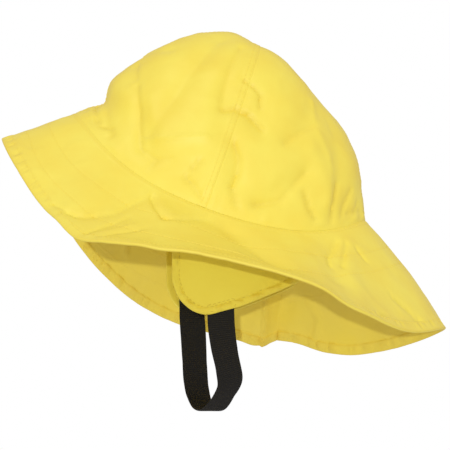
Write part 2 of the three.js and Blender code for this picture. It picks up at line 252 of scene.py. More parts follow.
# %% Height of the cloth near a drawn fold
FOLD = ["width", "depth", "sharp", "lean", "line"]
CRISP_DEPTH, CRISP_FALL, CRISP_TIP, CRISP_START = 2.0, 1.5, 0.02, 0.14
LEAN_GAIN, FAR_AWAY = 1.4, 1e9
# a point inside the head, from which the left and right sides of a line are told apart
FOLD_CENTRE = np.array([0.0, 0.0, -120.0])


def fold_list(surface, rows):
    folds = [dict(zip(FOLD, row)) for row in rows]
    for fold in folds:
        places = np.array(fold["line"], float)
        fold["points"] = surface(places[:, 0], places[:, 1])
    return folds


def from_line(points, start, end):
    """Vector to each point from the nearest place on a straight line."""
    line = end - start
    share = np.clip(((points - start) @ line) / (line @ line), 0, 1)
    return points - start - share[..., None] * line


def fold_height(points, folds):
    """Height of all folds at each point, in millimetres."""
    height = np.zeros(points.shape[:-1])
    outward = points - FOLD_CENTRE
    outward = outward / length_of(outward)[..., None]
    for fold in folds:
        nearest = np.full(height.shape, FAR_AWAY)
        left = np.zeros(height.shape)
        for start, end in zip(fold["points"][:-1], fold["points"][1:]):
            offset = from_line(points, start, end)
            gap = length_of(offset)
            turned = (np.cross((end - start) / length_of(end - start), offset) * outward).sum(-1)
            left = np.where(gap < nearest, turned / np.maximum(gap, 1e-6), left)
            nearest = np.minimum(nearest, gap)
        away = nearest / (fold["width"] * (1 + fold["lean"] * np.clip(left * LEAN_GAIN, -1, 1)))
        soft = np.exp(-(away**2))
        crisp = CRISP_DEPTH * np.exp(-CRISP_FALL * (np.sqrt(away**2 + CRISP_TIP) - CRISP_START))
        height += fold["depth"] * (soft + (crisp - soft) * fold["sharp"])
    return height


# %% [markdown]
# Each row below is one fold: its width, depth, sharpness and lean, and then the places that its line
# passes through. A place is an angle round the head, 0 at the front and 90 over the left ear, and
# the share of the way along the cloth from the seam. A negative depth is a valley. The main folds of
# the crown are soft and are kept apart, because the ear flaps are sewn against them.

# %% Folds of the crown
CROWN_MAIN_FOLDS = fold_list(
    plain_crown,
    [
        (10, -1.0, 0, 0, [(21, 0.38), (45, 0.22)]),
        (8, -1.6, 0, 0, [(45, 0.22), (62, 0.09)]),
        (14, -1.8, 0, 0, [(40, 0.74), (58, 0.38)]),
        (8, 1.2, 0, 0, [(55, 0.15), (79, 0.29)]),
        (14, -3.0, 0, 0, [(84, 0.50), (98, 0.45)]),
        (9, -1.4, 0, 0, [(118, 0.39), (139, 0.53)]),
        (8, 1.6, 0, 0, [(131, 0.34), (139, 0.12)]),
        (8, -2.0, 0, 0, [(109, 0.10), (129, 0.25)]),
        (8, -1.8, 0, 0, [(91, 0.31), (98, 0.14)]),
        (7, -1.6, 0, 0, [(6, 0.12), (31, 0.05)]),
        (10, -3.2, 0, 0, [(222, 0.30), (246, 0.12)]),
        (14, -3.2, 0, 0, [(262, 0.42), (284, 0.50)]),
        (10, -2.8, 0, 0, [(300, 0.20), (322, 0.42)]),
        (15, -2.4, 0, 0, [(205, 0.62), (236, 0.50)]),
    ],
)
CROWN_FOLDS = CROWN_MAIN_FOLDS + fold_list(
    plain_crown,
    [
        # front left: the long valley, the diagonal and the creases that meet below them
        (5.0, -1.3, 0.4, -0.5, [(18, 0.36), (29, 0.32)]),
        (3.4, -1.0, 0.85, -0.6, [(35, 0.30), (44, 0.235), (48, 0.17), (53, 0.12), (56, 0.095)]),
        (2.0, -0.55, 1, 0, [(57, 0.09), (64, 0.09), (64, 0.03)]),
        (2.0, -0.4, 1, 0, [(64, 0.09), (69, 0.13)]),
        (9.0, -1.1, 0.7, -0.2, [(44, 0.73), (54, 0.53), (57, 0.34), (55, 0.15)]),
        (2.6, 0.8, 1, -0.3, [(55, 0.14), (67, 0.21), (80, 0.28)]),
        (1.8, -0.9, 1, 0, [(81, 0.18), (80, 0.15), (78, 0.08), (82, 0.07), (87, 0.03)]),
        # beside the side seam
        (4.5, -1.3, 0.6, 0.3, [(68, 0.76), (72, 0.65), (75, 0.57), (77, 0.50), (80, 0.43)]),
        (4.0, -1.7, 0.9, -0.5, [(81, 0.42), (87, 0.45), (96, 0.44), (103, 0.40)]),
        (2.2, -1.1, 1, 0.3, [(86, 0.58), (93, 0.57), (99, 0.54), (100, 0.49)]),
        (5.0, 1.0, 0.3, 0, [(85, 0.51), (95, 0.51)]),
        # back left
        (3.2, -1.2, 0.8, -0.4, [(92, 0.30), (96, 0.24), (97, 0.17), (97, 0.12)]),
        (2.2, -1.1, 1, 0, [(97, 0.11), (99, 0.07), (101, 0.03)]),
        (3.0, -1.1, 1, 0.4, [(107, 0.07), (117, 0.11), (127, 0.24)]),
        (3.0, -0.4, 1, 0, [(107, 0.07), (117, 0.10)]),
        (3.0, -1.0, 0.9, 0.4, [(116, 0.36), (126, 0.42), (135, 0.45)]),
        (4.5, 0.7, 0.5, 0, [(142, 0.58), (135, 0.45), (140, 0.32), (141, 0.25), (138, 0.11)]),
        (9.0, -1.2, 0.1, 0, [(150, 0.50), (149, 0.37), (147, 0.22)]),
        (2.4, -1.2, 1, 0, [(127, 0.16), (130, 0.09), (134, 0.04)]),
        (2.6, -1.1, 1, 0.2, [(145, 0.19), (142, 0.10), (141, 0.0)]),
        (2.8, -0.9, 0.9, -0.3, [(156, 0.15), (150, 0.09), (147, 0.02)]),
        (2.4, -0.8, 1, 0, [(152, 0.055), (164, 0.05), (176, 0.03)]),
        (2.2, -0.6, 1, 0, [(162, 0.09), (156, 0.03)]),
        # front edge of the crown
        (7.0, 1.8, 0, 0, [(-40, 0.07), (-12, 0.08), (8, 0.08), (22, 0.055)]),
        (4.0, -0.8, 0.9, 0.4, [(-36, 0.11), (-12, 0.135), (6, 0.135), (22, 0.115), (33, 0.075)]),
        (2.4, -1.3, 1, 0, [(4, 0.10), (16, 0.075), (28, 0.05)]),
        (2.0, -1.1, 1, 0, [(32, 0.05), (37, 0.075), (41, 0.06), (40, 0.01)]),
        (2.0, -0.9, 1, 0, [(10, 0.045), (24, 0.025)]),
        (5.0, -0.9, 0.4, 0, [(4, 0.40), (28, 0.52)]),
        # far side
        (3.6, -1.0, 0.7, 0.4, [(222, 0.34), (226, 0.29), (233, 0.21), (241, 0.14), (246, 0.11)]),
        (4.4, -0.7, 0.5, 0.3, [(260, 0.38), (266, 0.42), (274, 0.445), (283, 0.45)]),
        (3.6, -1.0, 0.7, 0.4, [(300, 0.18), (303, 0.23), (309, 0.31), (316, 0.39), (324, 0.46)]),
        (4.6, -0.8, 0.5, 0.2, [(205, 0.64), (211, 0.59), (220, 0.55), (231, 0.52)]),
        (2.2, -1.0, 1, 0, [(336, 0.13), (329, 0.08), (318, 0.04)]),
        (3.2, 1.0, 0.5, 0, [(250, 0.20), (264, 0.30), (281, 0.27)]),
    ],
)
print("folds drawn on the crown:", len(CROWN_FOLDS))

# %% Folds of the brim
BRIM_FOLDS = fold_list(
    plain_brim,
    [
        # soft main folds
        (10.8, -1.2, 0, 0, [(69, 0.16), (59, 0.70)]),
        (8.4, 1.5, 0, 0, [(71, 0.12), (80, 0.34)]),
        (17.0, -3.6, 0, 0, [(96, 0.10), (111, 0.56)]),
        (9.6, -1.6, 0, 0, [(138, 0.12), (134, 0.60)]),
        (8.4, 1.3, 0, 0, [(146, 0.12), (140, 0.60)]),
        (14.4, -2.0, 0, 0, [(30, 0.45), (48, 0.96)]),
        (7.2, -3.6, 0, 0, [(238, 0.45), (239, 1.00)]),
        (8.4, 3.4, 0, 0, [(231, 0.55), (232, 1.00)]),
        (16.8, 2.0, 0, 0, [(198, 0.40), (204, 1.00)]),
        (16.8, -2.4, 0, 0, [(280, 0.40), (284, 1.00)]),
        (14.4, -1.6, 0, 0, [(318, 0.30), (326, 1.00)]),
        # soft humps that lift the near edge in front of the ear and below it
        (15.0, 3.4, 0, 0, [(71, 0.98), (78, 1.00)]),
        (13.0, 1.8, 0, 0, [(89, 1.00), (122, 1.00)]),
        # near side: the valley in front of the ear, the wedge that ends it and the dent below the ear
        (3.4, -0.9, 1, -0.4, [(54, 0.86), (59, 0.74), (65, 0.52), (67, 0.34), (70, 0.17), (71, 0.13)]),
        (2.8, -1.5, 1, 0.4, [(71, 0.13), (75, 0.26), (79, 0.35)]),
        (2.8, -1.1, 0.9, -0.3, [(79, 0.35), (84, 0.30), (92, 0.10)]),
        (1.8, -0.8, 1, 0, [(64, 0.90), (67, 0.70), (70, 0.50)]),
        (2.0, 0.5, 1, 0, [(66, 0.92), (70, 0.70), (73, 0.56)]),
        (1.8, -0.8, 1, 0, [(69, 0.90), (71, 0.78), (77, 0.58)]),
        (2.0, -0.6, 0.9, 0, [(48, 0.90), (57, 0.80)]),
        (9.0, -1.3, 0, 0.3, [(97, 0.05), (101, 0.23), (108, 0.40), (114, 0.62)]),
        # near side toward the back
        (2.4, -0.9, 0.9, 0, [(142, 0.12), (135, 0.29), (134, 0.40)]),
        (2.4, -1.0, 0.9, 0, [(146, 0.16), (139, 0.40)]),
        (2.0, -0.7, 0.9, 0, [(150, 0.22), (152, 0.34)]),
        (2.2, -0.9, 0.9, 0, [(143, 0.90), (153, 0.87), (162, 0.90)]),
        (2.2, -0.9, 0.9, 0, [(155, 0.68), (160, 0.84)]),
        # far side
        (2.8, -2.2, 1, -0.3, [(238, 0.44), (236, 1.00)]),
        (3.4, 1.0, 0.8, 0, [(233, 0.48), (232, 1.00)]),
        (2.4, -0.7, 0.9, 0, [(223, 0.55), (219, 0.70), (220, 0.94)]),
        (2.6, -1.0, 0.9, 0, [(290, 0.12), (296, 0.35), (291, 0.60)]),
        (2.6, -1.0, 0.9, 0, [(196, 0.10), (192, 0.30), (197, 0.46)]),
        (2.6, -1.0, 0.9, 0, [(255, 0.10), (259, 0.30), (253, 0.52)]),
    ],
)
print("folds drawn on the brim:", len(BRIM_FOLDS))

# %% [markdown]
# Between the drawn folds the cloth is never quite flat. A lattice of random numbers, read smoothly,
# gives soft unevenness over any size that is asked for. Its seed is fixed, so the hat comes out the
# same each time. Where two effects use it, a number added to the points moves one of them to another
# part of the lattice, so that their bumps don't fall together.

# %% Soft unevenness with a fixed seed
LATTICE_SIZE, LATTICE_SEED, LATTICE_MIDDLE = 32, 11, 500
TUCK_GAIN, TUCK_POWER = 2.6, 1.5
SWELLS = [(0.55, 26, 0), (0.22, 11, 40), (0.05, 4, 0)]
RIDGE_HEIGHT, RIDGE_SIZE, RIDGE_GAIN = 0.35, 17, 2.2
lattice = np.random.default_rng(LATTICE_SEED).uniform(-1, 1, (LATTICE_SIZE,) * 3)


def unevenness(points, size):
    """Smooth values between -1 and 1 that change over about size millimetres."""
    place = points / size + LATTICE_MIDDLE
    cell = np.floor(place).astype(int)
    share = place - cell
    share = share * share * (3 - 2 * share)
    total = np.zeros(points.shape[:-1])
    for corner in np.ndindex(2, 2, 2):
        weight = np.prod(np.where(corner, share, 1 - share), axis=-1)
        i, j, k = np.moveaxis((cell + corner) % LATTICE_SIZE, -1, 0)
        total += weight * lattice[i, j, k]
    return total


def tucks(points, size):
    """Thin sharp ridges with a random gap of about size millimetres between them."""
    return np.maximum(0, 1 - TUCK_GAIN * np.abs(unevenness(points, size))) ** TUCK_POWER


def crumple(points):
    """Soft swells and a few faint ridges, in millimetres."""
    swell = sum(height * unevenness(points + shift, size) for height, size, shift in SWELLS)
    ridges = RIDGE_HEIGHT * (1 - np.abs(unevenness(points + 90, RIDGE_SIZE)) * RIDGE_GAIN)
    return swell + np.maximum(ridges, 0)


print("random numbers in the lattice:", lattice.size)

# %% [markdown]
# ## Sewn lines
# The gores meet in lapped seams: one gore lies over the next, and two rows of stitches hold the lap
# down. The crown meets the brim in one seam, the brim carries two rows of quilting stitches, and its
# edge is folded under and stitched as a hem. Each sewn line is a shallow groove with a raised lap
# beside it. Small puckers run across it.

# %% Relief of the crown's seams
LAP_LIFT, LAP_WIDTH, LAP_STEP, LAP_FADE = 0.3, 5.6, 0.7, 1.6
LAP_ROWS, LAP_ROW_DENT, LAP_ROW_WIDTH = (1.3, 4.4), 0.1, 0.55
LAPPED_SIDE = np.array([1, -1, -1, 1])
SEAM_DENT, SEAM_DENT_WIDTH = 0.12, 0.5
SEAM_PULL, SEAM_PULL_SIZE, SEAM_PULL_AT, SEAM_PULL_WIDTH = 0.28, 5.5, 2.8, 6
GATHERED_AT_DEG, GATHERED_WIDTH_DEG, GATHER_SIZE = 155, 28, 45
PUCKER_HEIGHT, PUCKER_REACH, PUCKER_SPREAD = 1.1, 7, 4
ROLL_DENT, ROLL_WIDTH, LOOSE_CLIMB = 0.06, 0.6, 0.07


def degree_width(angle, climb):
    """Millimetres of crown cloth across one degree."""
    return length_of(plain_crown(angle + 0.5, climb) - plain_crown(angle - 0.5, climb))


def seam_distance(angle, climb):
    """Millimetres to the nearest gore seam, positive on the side where the lap lies."""
    seam = np.round(angle / 90)
    side = LAPPED_SIDE[seam.astype(int) % 4]
    return (angle - seam * 90) * degree_width(angle, climb) * side


def bump(distance, width):
    return np.exp(-((distance / width) ** 2))


# %% Outer face of the crown
def crown_relief(angle, climb, point):
    """Laps, rows and pulls of the gore seams, and the puckers above the brim's seam."""
    across = seam_distance(angle, climb)
    lap = smoothstep(across, 0, LAP_STEP) - smoothstep(across, LAP_WIDTH, LAP_WIDTH + LAP_FADE)
    rows = sum(LAP_ROW_DENT * bump(across - row, LAP_ROW_WIDTH) for row in LAP_ROWS)
    pull = unevenness(point + 7, SEAM_PULL_SIZE) * bump(across - SEAM_PULL_AT, SEAM_PULL_WIDTH)
    seams = LAP_LIFT * lap - SEAM_DENT * bump(across, SEAM_DENT_WIDTH) - rows + SEAM_PULL * pull
    above = climb * slant
    foot = plain_crown(angle, 0)
    gather = 0.5 + 0.5 * unevenness(foot, GATHER_SIZE)
    gather += 0.9 * bump(angle - GATHERED_AT_DEG, GATHERED_WIDTH_DEG)
    reach = PUCKER_REACH + PUCKER_SPREAD * unevenness(foot + 20, 14)
    pleats = unevenness(foot + 60, 6.5) + 0.9 * tucks(foot + 120, 8)
    puckers = PUCKER_HEIGHT * gather * pleats * np.exp(-above / reach) * smoothstep(above, 0.4, 4)
    rolled = -ROLL_DENT * np.exp(-above / ROLL_WIDTH)
    return seams * smoothstep(1 - climb, 0.005, 0.05) + puckers + rolled


def crown_face(angle, climb):
    """Outer face of the crown in the opening's own frame, millimetres."""
    angle, climb = matched(angle, climb)
    point = plain_crown(angle, climb)
    loose = smoothstep(climb, 0, LOOSE_CLIMB) * (1 - climb**8)
    height = loose * (fold_height(point, CROWN_FOLDS) + crumple(point))
    height = height + crown_relief(angle, climb, point)
    return point + crown_normal(angle, climb) * height[..., None]


print("crown halfway up at the front, mm:", crown_face([5], [0.5]).round(1).tolist())

# %% Rows of quilting round the brim
BRIM_ROWS = table(
    ["angle", "first", "second"],
    [
        [0, 22, 40],
        [12, 24, 41],
        [30, 27, 47],
        [46, 29, 49.5],
        [60, 28, 53],
        [90, 27, 54],
        [117, 27, 55],
        [137, 26, 47],
        [153, 26, 43.5],
        [180, 26, 41.5],
        [207, 26, 43.5],
        [223, 26, 47],
        [243, 27, 54],
        [270, 27, 52],
        [300, 28, 49],
        [330, 27, 45],
        [348, 24, 41],
    ],
)
ROW_TO_EDGE = 14


def brim_row(angle, name):
    """Millimetres from the seam down to a row of quilting."""
    return np.minimum(around(BRIM_ROWS, name, angle), brim_length(angle) - ROW_TO_EDGE)


# %% Relief of the brim's rows and hem
BRIM_LAP_WIDTH, BRIM_LAP_ROW, BRIM_LAP_LIFT, BRIM_LAP_DENT = 3.2, 1.9, 0.2, 0.12
ROW_DENT, ROW_DENT_WIDTH, ROW_PULL, ROW_PULL_WIDTH = 0.16, 0.7, 0.22, 4.5
HEM_ROW, HEM_LIFT, HEM_DENT, HEM_PULL_AT, HEM_PULL_WIDTH = 1.0, 0.3, 0.2, 0.62, 3.2
NEAR_CALM_DEG, NEAR_CALM_WIDTH_DEG, LOOSE_REACH = 95, 45, 0.2


def hem_pulls(angle):
    """Small pulls across the hem, fewest on the near side and strongest on the far side."""
    edge = plain_brim(angle, 1)
    far_side = smoothstep(angle, 190, 215) * (1 - smoothstep(angle, 320, 345))
    strength = 1 - 0.8 * bump(angle - NEAR_CALM_DEG, NEAR_CALM_WIDTH_DEG) + 0.5 * far_side
    pulls = 0.25 * unevenness(edge, 5.5) + 0.3 * unevenness(edge + 30, 12)
    return strength * (pulls - 1.2 * tucks(edge + 70, 4.8))


def brim_relief(angle, out, length):
    """out is the distance from the seam down the cloth, in millimetres."""
    lap = smoothstep(out, 0, 1.6) - smoothstep(out, BRIM_LAP_WIDTH, BRIM_LAP_WIDTH + 1)
    height = BRIM_LAP_LIFT * lap - BRIM_LAP_DENT * bump(out - BRIM_LAP_ROW, 0.5)
    height -= 0.08 * np.exp(-out / ROLL_WIDTH)
    foot = plain_crown(angle, 0)
    gather = 0.5 + 0.5 * unevenness(foot + 30, 40)
    height += 0.7 * gather * unevenness(foot + 10, 7) * np.exp(-out / 6) * smoothstep(out, 2, 5)
    for name in ("first", "second"):
        row = brim_row(angle, name)
        on_row = plain_brim(angle, row / length)
        height -= ROW_DENT * bump(out - row, ROW_DENT_WIDTH)
        height += ROW_PULL * unevenness(on_row, 6) * bump(out - row, ROW_PULL_WIDTH)
    to_edge = length - out
    height += HEM_LIFT * smoothstep(to_edge, HEM_WIDTH + 0.8, HEM_WIDTH - 0.6)
    height -= HEM_DENT * bump(to_edge - HEM_WIDTH + HEM_ROW, ROW_DENT_WIDTH)
    across_hem = bump(to_edge - HEM_WIDTH * HEM_PULL_AT, HEM_PULL_WIDTH) * smoothstep(to_edge, 0, 3)
    return height + hem_pulls(angle) * across_hem


def brim_face(angle, out):
    """Upper face of the brim; out is in millimetres down the cloth from the seam."""
    angle, out = matched(angle, out)
    length = brim_length(angle)
    reach = out / length
    point = plain_brim(angle, reach)
    loose = smoothstep(reach, 0, LOOSE_REACH)
    height = loose * (fold_height(point, BRIM_FOLDS) + 0.8 * crumple(point + 200))
    height = height + brim_relief(angle, out, length)
    return point + brim_normal(angle, reach) * height[..., None]


print("brim edge at the back, mm:", brim_face([180], brim_length(np.array([180]))).round(1).tolist())

# %% [markdown]
# ## From grids to closed pieces
# A piece of cloth has two faces and a wall round its edge. A Solidify modifier could add the second
# face, but it can't thin an edge or sink a row of stitches. So a helper takes a grid for each face,
# joins them into one closed mesh and gives the hidden face a material of its own, because the inside
# of coated cloth is bare cotton. The hat was worked out level, and it is tipped by the angle at which
# it is worn before its millimetres are turned into metres.

# %% Tip the hat and find the directions of a grid
tilt = np.radians(FRONT_RAISE_DEG)
TIP = np.array([[np.cos(tilt), 0, np.sin(tilt)], [0, 1, 0], [-np.sin(tilt), 0, np.cos(tilt)]])


def worn(points):
    return points @ TIP.T


def grid_normals(grid, closed):
    """Unit normals of a grid of points, closed on itself along its first way or not."""
    if closed:
        along_u = np.roll(grid, -1, axis=0) - np.roll(grid, 1, axis=0)
    else:
        along_u = np.gradient(grid, axis=0)
    along_v = np.gradient(grid, axis=1)
    normal = np.cross(along_u, along_v)
    return normal / np.maximum(length_of(normal), 1e-9)[..., None]


print("hat tipped back, degrees:", FRONT_RAISE_DEG)

# %% [markdown]
# Inside a crease light goes from yellow cloth to yellow cloth and less of it gets in, so the creases
# get
# painted shade: their colour is mixed toward a deeper, warmer yellow than the shape alone gives in a
# render. A picture could be painted for it, but it would have to be placed by hand. So the depth of
# every point in its crease is worked out from the points about it and kept on the mesh, where the
# finish reads it as a painted shade mask.

# %% How deep a point lies in a crease, as a mask for painted shade
# sizes of the crease mask that paints shade into the cloth's colour
PAINTED_SHADE_GAIN, PAINTED_SHADE_START, PAINTED_SHADE_END_GAIN, PAINTED_SHADE_BLURS = 1.6, 0.05, 1.25, 3
CLOSE_POINTS, LEAST_WIDTH = 0.3, 0.5


def painted_crease_shade_mask(grid, closed):
    """How deep each point lies in a crease, 0 to 1, from the points about it; the mask for painted
    shade.
    """
    if closed:
        padded = np.concatenate([grid[-2:], grid, grid[:2]])
    else:
        padded = np.pad(grid, ((2, 2), (0, 0), (0, 0)), mode="reflect", reflect_type="odd")
    padded = np.pad(padded, ((0, 0), (2, 2), (0, 0)), mode="reflect", reflect_type="odd")
    normal = grid_normals(grid, closed)
    bend = np.zeros(grid.shape[:2])
    columns, rows = grid.shape[:2]
    for across, down in ((1, 0), (0, 1), (1, 1), (1, -1)):
        for step in (1, 2):
            a = padded[2 + across * step : 2 + across * step + columns, 2 + down * step :][:, :rows]
            b = padded[2 - across * step : 2 - across * step + columns, 2 - down * step :][:, :rows]
            width = length_of(a - b)
            rise = (((a + b) / 2 - grid) * normal).sum(-1)
            bend += rise / np.maximum(width, LEAST_WIDTH) ** 2 * (width > CLOSE_POINTS)
    painted_crease_shade = np.clip(bend * PAINTED_SHADE_GAIN - PAINTED_SHADE_START, 0, 1)
    for _ in range(PAINTED_SHADE_BLURS):
        framed = np.pad(painted_crease_shade, ((1, 1), (1, 1)), mode="wrap" if closed else "edge")
        if closed:
            framed[:, 0], framed[:, -1] = framed[:, 1], framed[:, -2]
        beside = framed[2:, 1:-1] + framed[:-2, 1:-1] + framed[1:-1, 2:] + framed[1:-1, :-2]
        painted_crease_shade = painted_crease_shade / 2 + beside / 8
    return np.clip(painted_crease_shade * PAINTED_SHADE_END_GAIN, 0, 1)


# %% Shells of cloth
def cloth_shell(name, front, back, cloth_mm, closed, materials):
    """Closed mesh between two grids of points in worn position; cloth_mm gives UVs in metres."""
    columns, rows = front.shape[:2]
    number = np.arange(2 * columns * rows).reshape(2, columns, rows)
    if closed:
        number = np.concatenate([number, number[:, :1]], axis=1)
    last = number.shape[1] - 1

    def quads(a, b, c, d):
        return np.stack([a.ravel(), b.ravel(), c.ravel(), d.ravel()], axis=1)

    def face(n):
        return quads(n[:-1, :-1], n[1:, :-1], n[1:, 1:], n[:-1, 1:])

    def wall(a, b):
        return quads(a[:-1], b[:-1], b[1:], a[1:])

    parts = [face(number[0]), face(number[1])[:, ::-1]]
    parts.append(wall(number[0, :, 0], number[1, :, 0]))
    parts.append(wall(number[1, :, -1], number[0, :, -1]))
    if not closed:
        parts.append(wall(number[1, 0], number[0, 0]))
        parts.append(wall(number[0, last], number[1, last]))
    faces = np.concatenate(parts)
    points = np.concatenate([front.reshape(-1, 3), back.reshape(-1, 3)]) / 1000
    mesh = bpy.data.meshes.new(name)
    mesh.from_pydata(points.tolist(), [], faces.tolist())
    for material in materials:
        mesh.materials.append(material)
    inside = np.zeros(len(faces), np.int32)
    inside[len(parts[0]) : len(parts[0]) + len(parts[1])] = len(materials) - 1
    mesh.polygons.foreach_set("material_index", inside)
    uv = np.concatenate([cloth_mm.reshape(-1, 2)] * 2) / 1000
    # painted shade: the crease mask of both faces is kept on the mesh, where the finish darkens and
    # warms the colour with it
    painted_crease_shade = [painted_crease_shade_mask(front, closed), painted_crease_shade_mask(back[:, ::-1], closed)[:, ::-1]]
    shade = mesh.attributes.new("painted_crease_shade", "FLOAT", "POINT")
    shade.data.foreach_set("value", np.concatenate([h.ravel() for h in painted_crease_shade]).astype(np.float32))
    layer = mesh.uv_layers.new(name="cloth")
    layer.data.foreach_set("uv", uv[faces.ravel()].astype(np.float32).ravel())
    return finish_piece(name, mesh)


# %% Smooth a piece and turn its faces outward
CORNER_DEG = 60


def add_object(name, data):
    made = bpy.data.objects.new(name, data)
    bpy.context.scene.collection.objects.link(made)
    return made


def finish_piece(name, mesh):
    """Smooth shading, sharp only where the cloth turns a corner, and all faces outward."""
    mesh.shade_smooth()
    mesh.set_sharp_from_angle(angle=np.radians(CORNER_DEG))
    mesh.validate()
    mesh.update()
    corners = np.array([v.co for v in mesh.vertices])
    mesh.calc_loop_triangles()
    triangles = np.array([t.vertices[:] for t in mesh.loop_triangles])
    a, b, c = (corners[triangles[:, i]] for i in range(3))
    volume = np.einsum("ij,ij->i", a, np.cross(b, c)).sum() / 6
    if volume < 0:
        mesh.flip_normals()
    print(name, "triangles", len(triangles), "cloth volume, ml:", round(abs(volume) * 1e6, 1))
    return add_object(name, mesh)


# %% [markdown]
# ## Materials
# The coated cloth is a satin yellow film over cotton. Light slides off it, so it needs a low sheen and
# soft highlights, and the creases get painted shade: their colour is mixed toward a warmer, deeper
# yellow.
# Inside, the cotton is bare and duller, and the flaps show a cotton of their own. Node trees are long
# to write by hand, so one small class adds nodes, and another lets Python's own signs do the maths
# between sockets.

# %% Maths between sockets
class Signal:
    """A socket that works in Python sums; each sign adds one Math node."""

    def __init__(self, finish, socket):
        self.finish, self.socket = finish, socket

    def _sum(self, operation, first, second=0.0):
        return self.finish.node("ShaderNodeMath", {"operation": operation}, {0: first, 1: second})

    def __add__(self, other):
        return self._sum("ADD", self, other)

    def __sub__(self, other):
        return self._sum("SUBTRACT", self, other)

    def __mul__(self, other):
        return self._sum("MULTIPLY", self, other)

    def __radd__(self, other):
        return self._sum("ADD", other, self)

    def __rsub__(self, other):
        return self._sum("SUBTRACT", other, self)

    def __rmul__(self, other):
        return self._sum("MULTIPLY", other, self)

    def sine(self):
        return self._sum("SINE", self)

    def absolute(self):
        return self._sum("ABSOLUTE", self)

    def clamped(self):
        return self.finish.node("ShaderNodeClamp", {}, {"Value": self})


# %% One material and the nodes in it
NOISE_ROUGHNESS = 0.55


class Finish:
    """Adds nodes to a new material and shows one surface."""

    def __init__(self, name):
        self.material = bpy.data.materials.new(name)
        self.material.use_nodes = True
        self.tree = self.material.node_tree
        self.tree.nodes.clear()

    def node(self, kind, settings, values, output=0):
        made = self.tree.nodes.new(kind)
        for key, value in settings.items():
            setattr(made, key, value)
        for key, value in values.items():
            if isinstance(value, Signal):
                self.tree.links.new(value.socket, made.inputs[key])
            else:
                made.inputs[key].default_value = value
        return Signal(self, made.outputs[output])

    def mix(self, factor, first, second):
        settings = {"data_type": "RGBA"}
        return self.node("ShaderNodeMix", settings, {0: factor, 6: first, 7: second}, 2)

    def noise(self, coordinates, scale, detail):
        values = {"Vector": coordinates, "Scale": scale, "Detail": detail}
        values["Roughness"] = NOISE_ROUGHNESS
        return self.node("ShaderNodeTexNoise", {}, values, "Fac")

    def bump(self, height, strength, distance):
        values = {"Strength": strength, "Distance": distance, "Height": height}
        return self.node("ShaderNodeBump", {}, values)

    def on_object(self):
        return self.node("ShaderNodeTexCoord", {}, {}, "Object")

    def on_cloth(self):
        """Metres across and down a piece of cloth, from its own UV map."""
        place = self.node("ShaderNodeUVMap", {"uv_map": "cloth"}, {})
        return [self.node("ShaderNodeSeparateXYZ", {}, {"Vector": place}, axis) for axis in "XY"]

    def show(self, values):
        surface = self.node("ShaderNodeBsdfPrincipled", {}, values)
        output = self.tree.nodes.new("ShaderNodeOutputMaterial")
        self.tree.links.new(surface.socket, output.inputs["Surface"])
        return self.material


# %% Coated cloth and its cotton back
CLOTH_YELLOW = (0.93, 0.82, 0.114, 1)
DEEP_YELLOW = (0.9, 0.72, 0.075, 1)
BACK_YELLOW = (0.86, 0.69, 0.1, 1)
FLAP_YELLOW = (0.84, 0.72, 0.072, 1)
FLAP_DEEP_YELLOW = (0.8, 0.65, 0.06, 1)
# painted shade in the creases: the colour is mixed toward this deeper, warmer yellow by the crease mask
PAINTED_CREASE_SHADE_YELLOW, PAINTED_CREASE_SHADE_SHARE = (0.74, 0.5, 0.04, 1), 0.8
WEAVE_PITCH = 0.00055
# scale and detail of the finish's four noises
MOTTLE, PORES, WEAR, GRAIN = (28, 3), (900, 2), (60, 2), (190, 3)
MOTTLE_GAIN, MOTTLE_LEVEL, WEAR_GAIN, PORE_HEIGHT, GRAIN_HEIGHT = 1.6, 0.35, 0.16, 0.09, 0.8
FILM_IOR, FILM_ROUGHNESS = 1.46, 0.42


def coated_cloth(name, colour, deep, roughness, weave, sheen):
    finish = Finish(name)
    place = finish.on_object()
    across, down = finish.on_cloth()
    turn = 2 * np.pi / WEAVE_PITCH
    threads = (across * turn).sine() * (down * turn).sine()
    shade = ((finish.noise(place, *MOTTLE) - 0.5) * MOTTLE_GAIN + MOTTLE_LEVEL).clamped()
    # painted shade: the crease mask on the mesh darkens and warms the base colour in the creases
    painted_crease_shade = finish.node("ShaderNodeAttribute", {"attribute_name": "painted_crease_shade"}, {}, "Fac")
    base = finish.mix(painted_crease_shade * PAINTED_CREASE_SHADE_SHARE, finish.mix(shade, colour, deep), PAINTED_CREASE_SHADE_YELLOW)
    rough = roughness + (finish.noise(place, *WEAR) - 0.5) * WEAR_GAIN
    grain = finish.noise(place, *PORES) * PORE_HEIGHT + finish.noise(place, *GRAIN) * GRAIN_HEIGHT
    normal = finish.bump(threads * weave + grain, strength=0.55, distance=0.00012)
    values = {"Base Color": base, "Roughness": rough, "Normal": normal, "IOR": FILM_IOR}
    return finish.show(values | {"Coat Weight": sheen, "Coat Roughness": FILM_ROUGHNESS})


film = {"roughness": 0.5, "weave": 0.05, "sheen": 0.12}
bare = {"roughness": 0.8, "weave": 0.16, "sheen": 0}
worn_bare = {"roughness": 0.75, "weave": 0.1, "sheen": 0}
coated_yellow = coated_cloth("coated_yellow", CLOTH_YELLOW, DEEP_YELLOW, **film)
cotton_back = coated_cloth("cotton_back", BACK_YELLOW, DEEP_YELLOW, **bare)
flap_cotton = coated_cloth("flap_cotton", FLAP_YELLOW, FLAP_DEEP_YELLOW, **worn_bare)
print("cloth finishes:", coated_yellow.name, cotton_back.name, flap_cotton.name)

# %% [markdown]
# Sewing thread is twisted from finer threads, and on a stitch half a millimetre wide a fine noise
# between two yellows shows that well enough. The strap is woven: ribs run across it and fine lines
# run along it. Both are sine waves on the strap's own UV map, because a pattern on the object's
# coordinates would not follow its loop.

